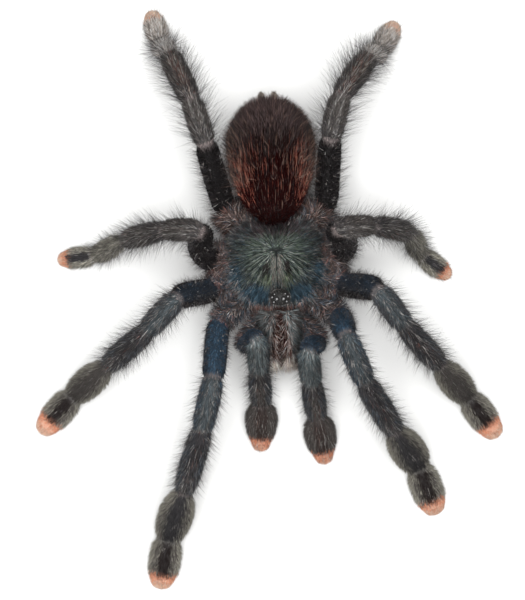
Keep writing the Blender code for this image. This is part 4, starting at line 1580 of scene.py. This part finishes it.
class TARANTULA_OT_spinnerets(Operator):
    """The two spinnerets, with their tufts"""

    bl_idname = "tarantula.spinnerets"
    bl_label = "Spinnerets"

    def execute(self, context):
        thick, _ = radii()
        count = context.scene.tarantula_hair.spinneret_coat
        x, y, z = SPINNERET_AT
        part, at = np.linspace(0.0, 1.0, 30), np.linspace(0.0, 1.0, len(SPINNERET))
        back, rise, radius = (np.interp(part, at, column) for column in zip(*SPINNERET))
        for side_name, side in SIDES:
            name = f"spinneret_{side_name}"
            line = np.column_stack((np.full_like(back, side * x), y + back, z + rise))
            finger = Tube(back, line, radius * SPINNERET_SKIN, radius * SPINNERET_SKIN)
            finger.zones = mixture(rear=0.35, taupe=0.65)
            add_skin(
                finger, "spinneret", f"{name}_skin", "abdomen_skin_finish", "spinneret_coat", name
            )
            tuft = Fur(f"{name}_coat")
            tuft.grow(
                finger, count, density=lambda a, t: step_up(a, -1.0, 0.4), length=0.9, rise=24.0,
                radius=thick * 0.8, spread=0.3,
            )
            tuft.make("abdomen_hair", "spinneret_coat")
        return {"FINISHED"}


class TARANTULA_OT_stage(Operator):
    """Pale floor, soft light and the camera straight above"""

    bl_idname = "tarantula.stage"
    bl_label = "Floor, light and camera"

    def execute(self, context):
        stage = context.scene.tarantula_stage
        self.add_floor(stage)
        for name, place, size, turn in LIGHTS:
            self.add_light(name, place, size, turn, getattr(stage, name))
        world = bpy.data.worlds.new("even_light")
        world.use_nodes = True
        sky = world.node_tree.nodes["Background"].inputs
        sky["Color"].default_value = (1.0, 1.0, 1.0, 1.0)
        sky["Strength"].default_value = stage.sky
        context.scene.world = world
        context.scene.view_settings.view_transform = "Standard"
        self.add_camera(stage)
        return {"FINISHED"}

    def add_camera(self, stage):
        """Straight above, with a lens that just takes in the specimen."""
        camera = bpy.data.cameras.new("camera")
        camera.sensor_width = SENSOR
        camera.lens = SENSOR * stage.camera_height / stage.view_height
        camera.clip_start, camera.clip_end = CAMERA_SEES
        holder = bpy.data.objects.new("camera", camera)
        holder.location = (CAMERA_AT[0] * MM, CAMERA_AT[1] * MM, stage.camera_height)
        holder.rotation_euler = (0.0, 0.0, math.radians(CAMERA_TURN))
        bpy.context.scene.collection.objects.link(holder)
        bpy.context.scene.camera = holder

    def add_floor(self, stage):
        """A flat sheet of a few tiles."""
        half, row = stage.floor_size / 2, FLOOR_TILES + 1
        x, y = np.meshgrid(np.linspace(-half, half, row), np.linspace(-half, half, row))
        points = [(a, b, 0.0) for a, b in zip(x.ravel(), y.ravel())]
        starts = [r * row + c for r in range(FLOOR_TILES) for c in range(FLOOR_TILES)]
        mesh = bpy.data.meshes.new("floor")
        mesh.from_pydata(points, [], [(k, k + 1, k + row + 1, k + row) for k in starts])
        mesh.materials.append(floor_finish(stage.floor_colour))
        floor = bpy.data.objects.new("floor", mesh)
        bpy.context.scene.collection.objects.link(floor)

    def add_light(self, name, place, size, turn, power):
        """A square soft light."""
        light = bpy.data.lights.new(name, "AREA")
        light.shape = "SQUARE"
        light.size = size
        light.energy = power
        lamp = bpy.data.objects.new(name, light)
        lamp.location = place
        lamp.rotation_euler = [math.radians(angle) for angle in turn]
        bpy.context.scene.collection.objects.link(lamp)


class TARANTULA_PT_specimen(Panel):
    """Lists the pieces of the specimen"""

    bl_idname = "TARANTULA_PT_specimen"
    bl_label = "Tarantula specimen"
    bl_space_type = "VIEW_3D"
    bl_region_type = "UI"
    bl_category = "Tarantula"

    def draw(self, context):
        for piece in PIECES:
            self.layout.operator(piece.bl_idname)
        for name, group in GROUPS.items():
            box = self.layout.box()
            for value in group.__annotations__:
                box.prop(getattr(context.scene, name), value)


GROUPS = {
    "tarantula_colours": TarantulaColours,
    "tarantula_hair": TarantulaHair,
    "tarantula_stage": TarantulaStage,
}
PIECES = (
    TARANTULA_OT_carapace, TARANTULA_OT_eyes, TARANTULA_OT_abdomen, TARANTULA_OT_jaws,
    TARANTULA_OT_spinnerets, TARANTULA_OT_palps, TARANTULA_OT_legs, TARANTULA_OT_stage,
)


def register():
    for group in GROUPS.values():
        bpy.utils.register_class(group)
    for kind in (*PIECES, TARANTULA_PT_specimen):
        bpy.utils.register_class(kind)
    for name, group in GROUPS.items():
        setattr(bpy.types.Scene, name, PointerProperty(type=group))


def unregister():
    for name in GROUPS:
        delattr(bpy.types.Scene, name)
    for kind in (TARANTULA_PT_specimen, *reversed(PIECES), *GROUPS.values()):
        bpy.utils.unregister_class(kind)


def main():
    register()
    bpy.ops.tarantula.carapace()
    bpy.ops.tarantula.eyes()
    bpy.ops.tarantula.abdomen()
    bpy.ops.tarantula.jaws()
    bpy.ops.tarantula.spinnerets()
    bpy.ops.tarantula.palps()
    bpy.ops.tarantula.legs()
    bpy.ops.tarantula.stage()


if __name__ == "__main__":
    main()
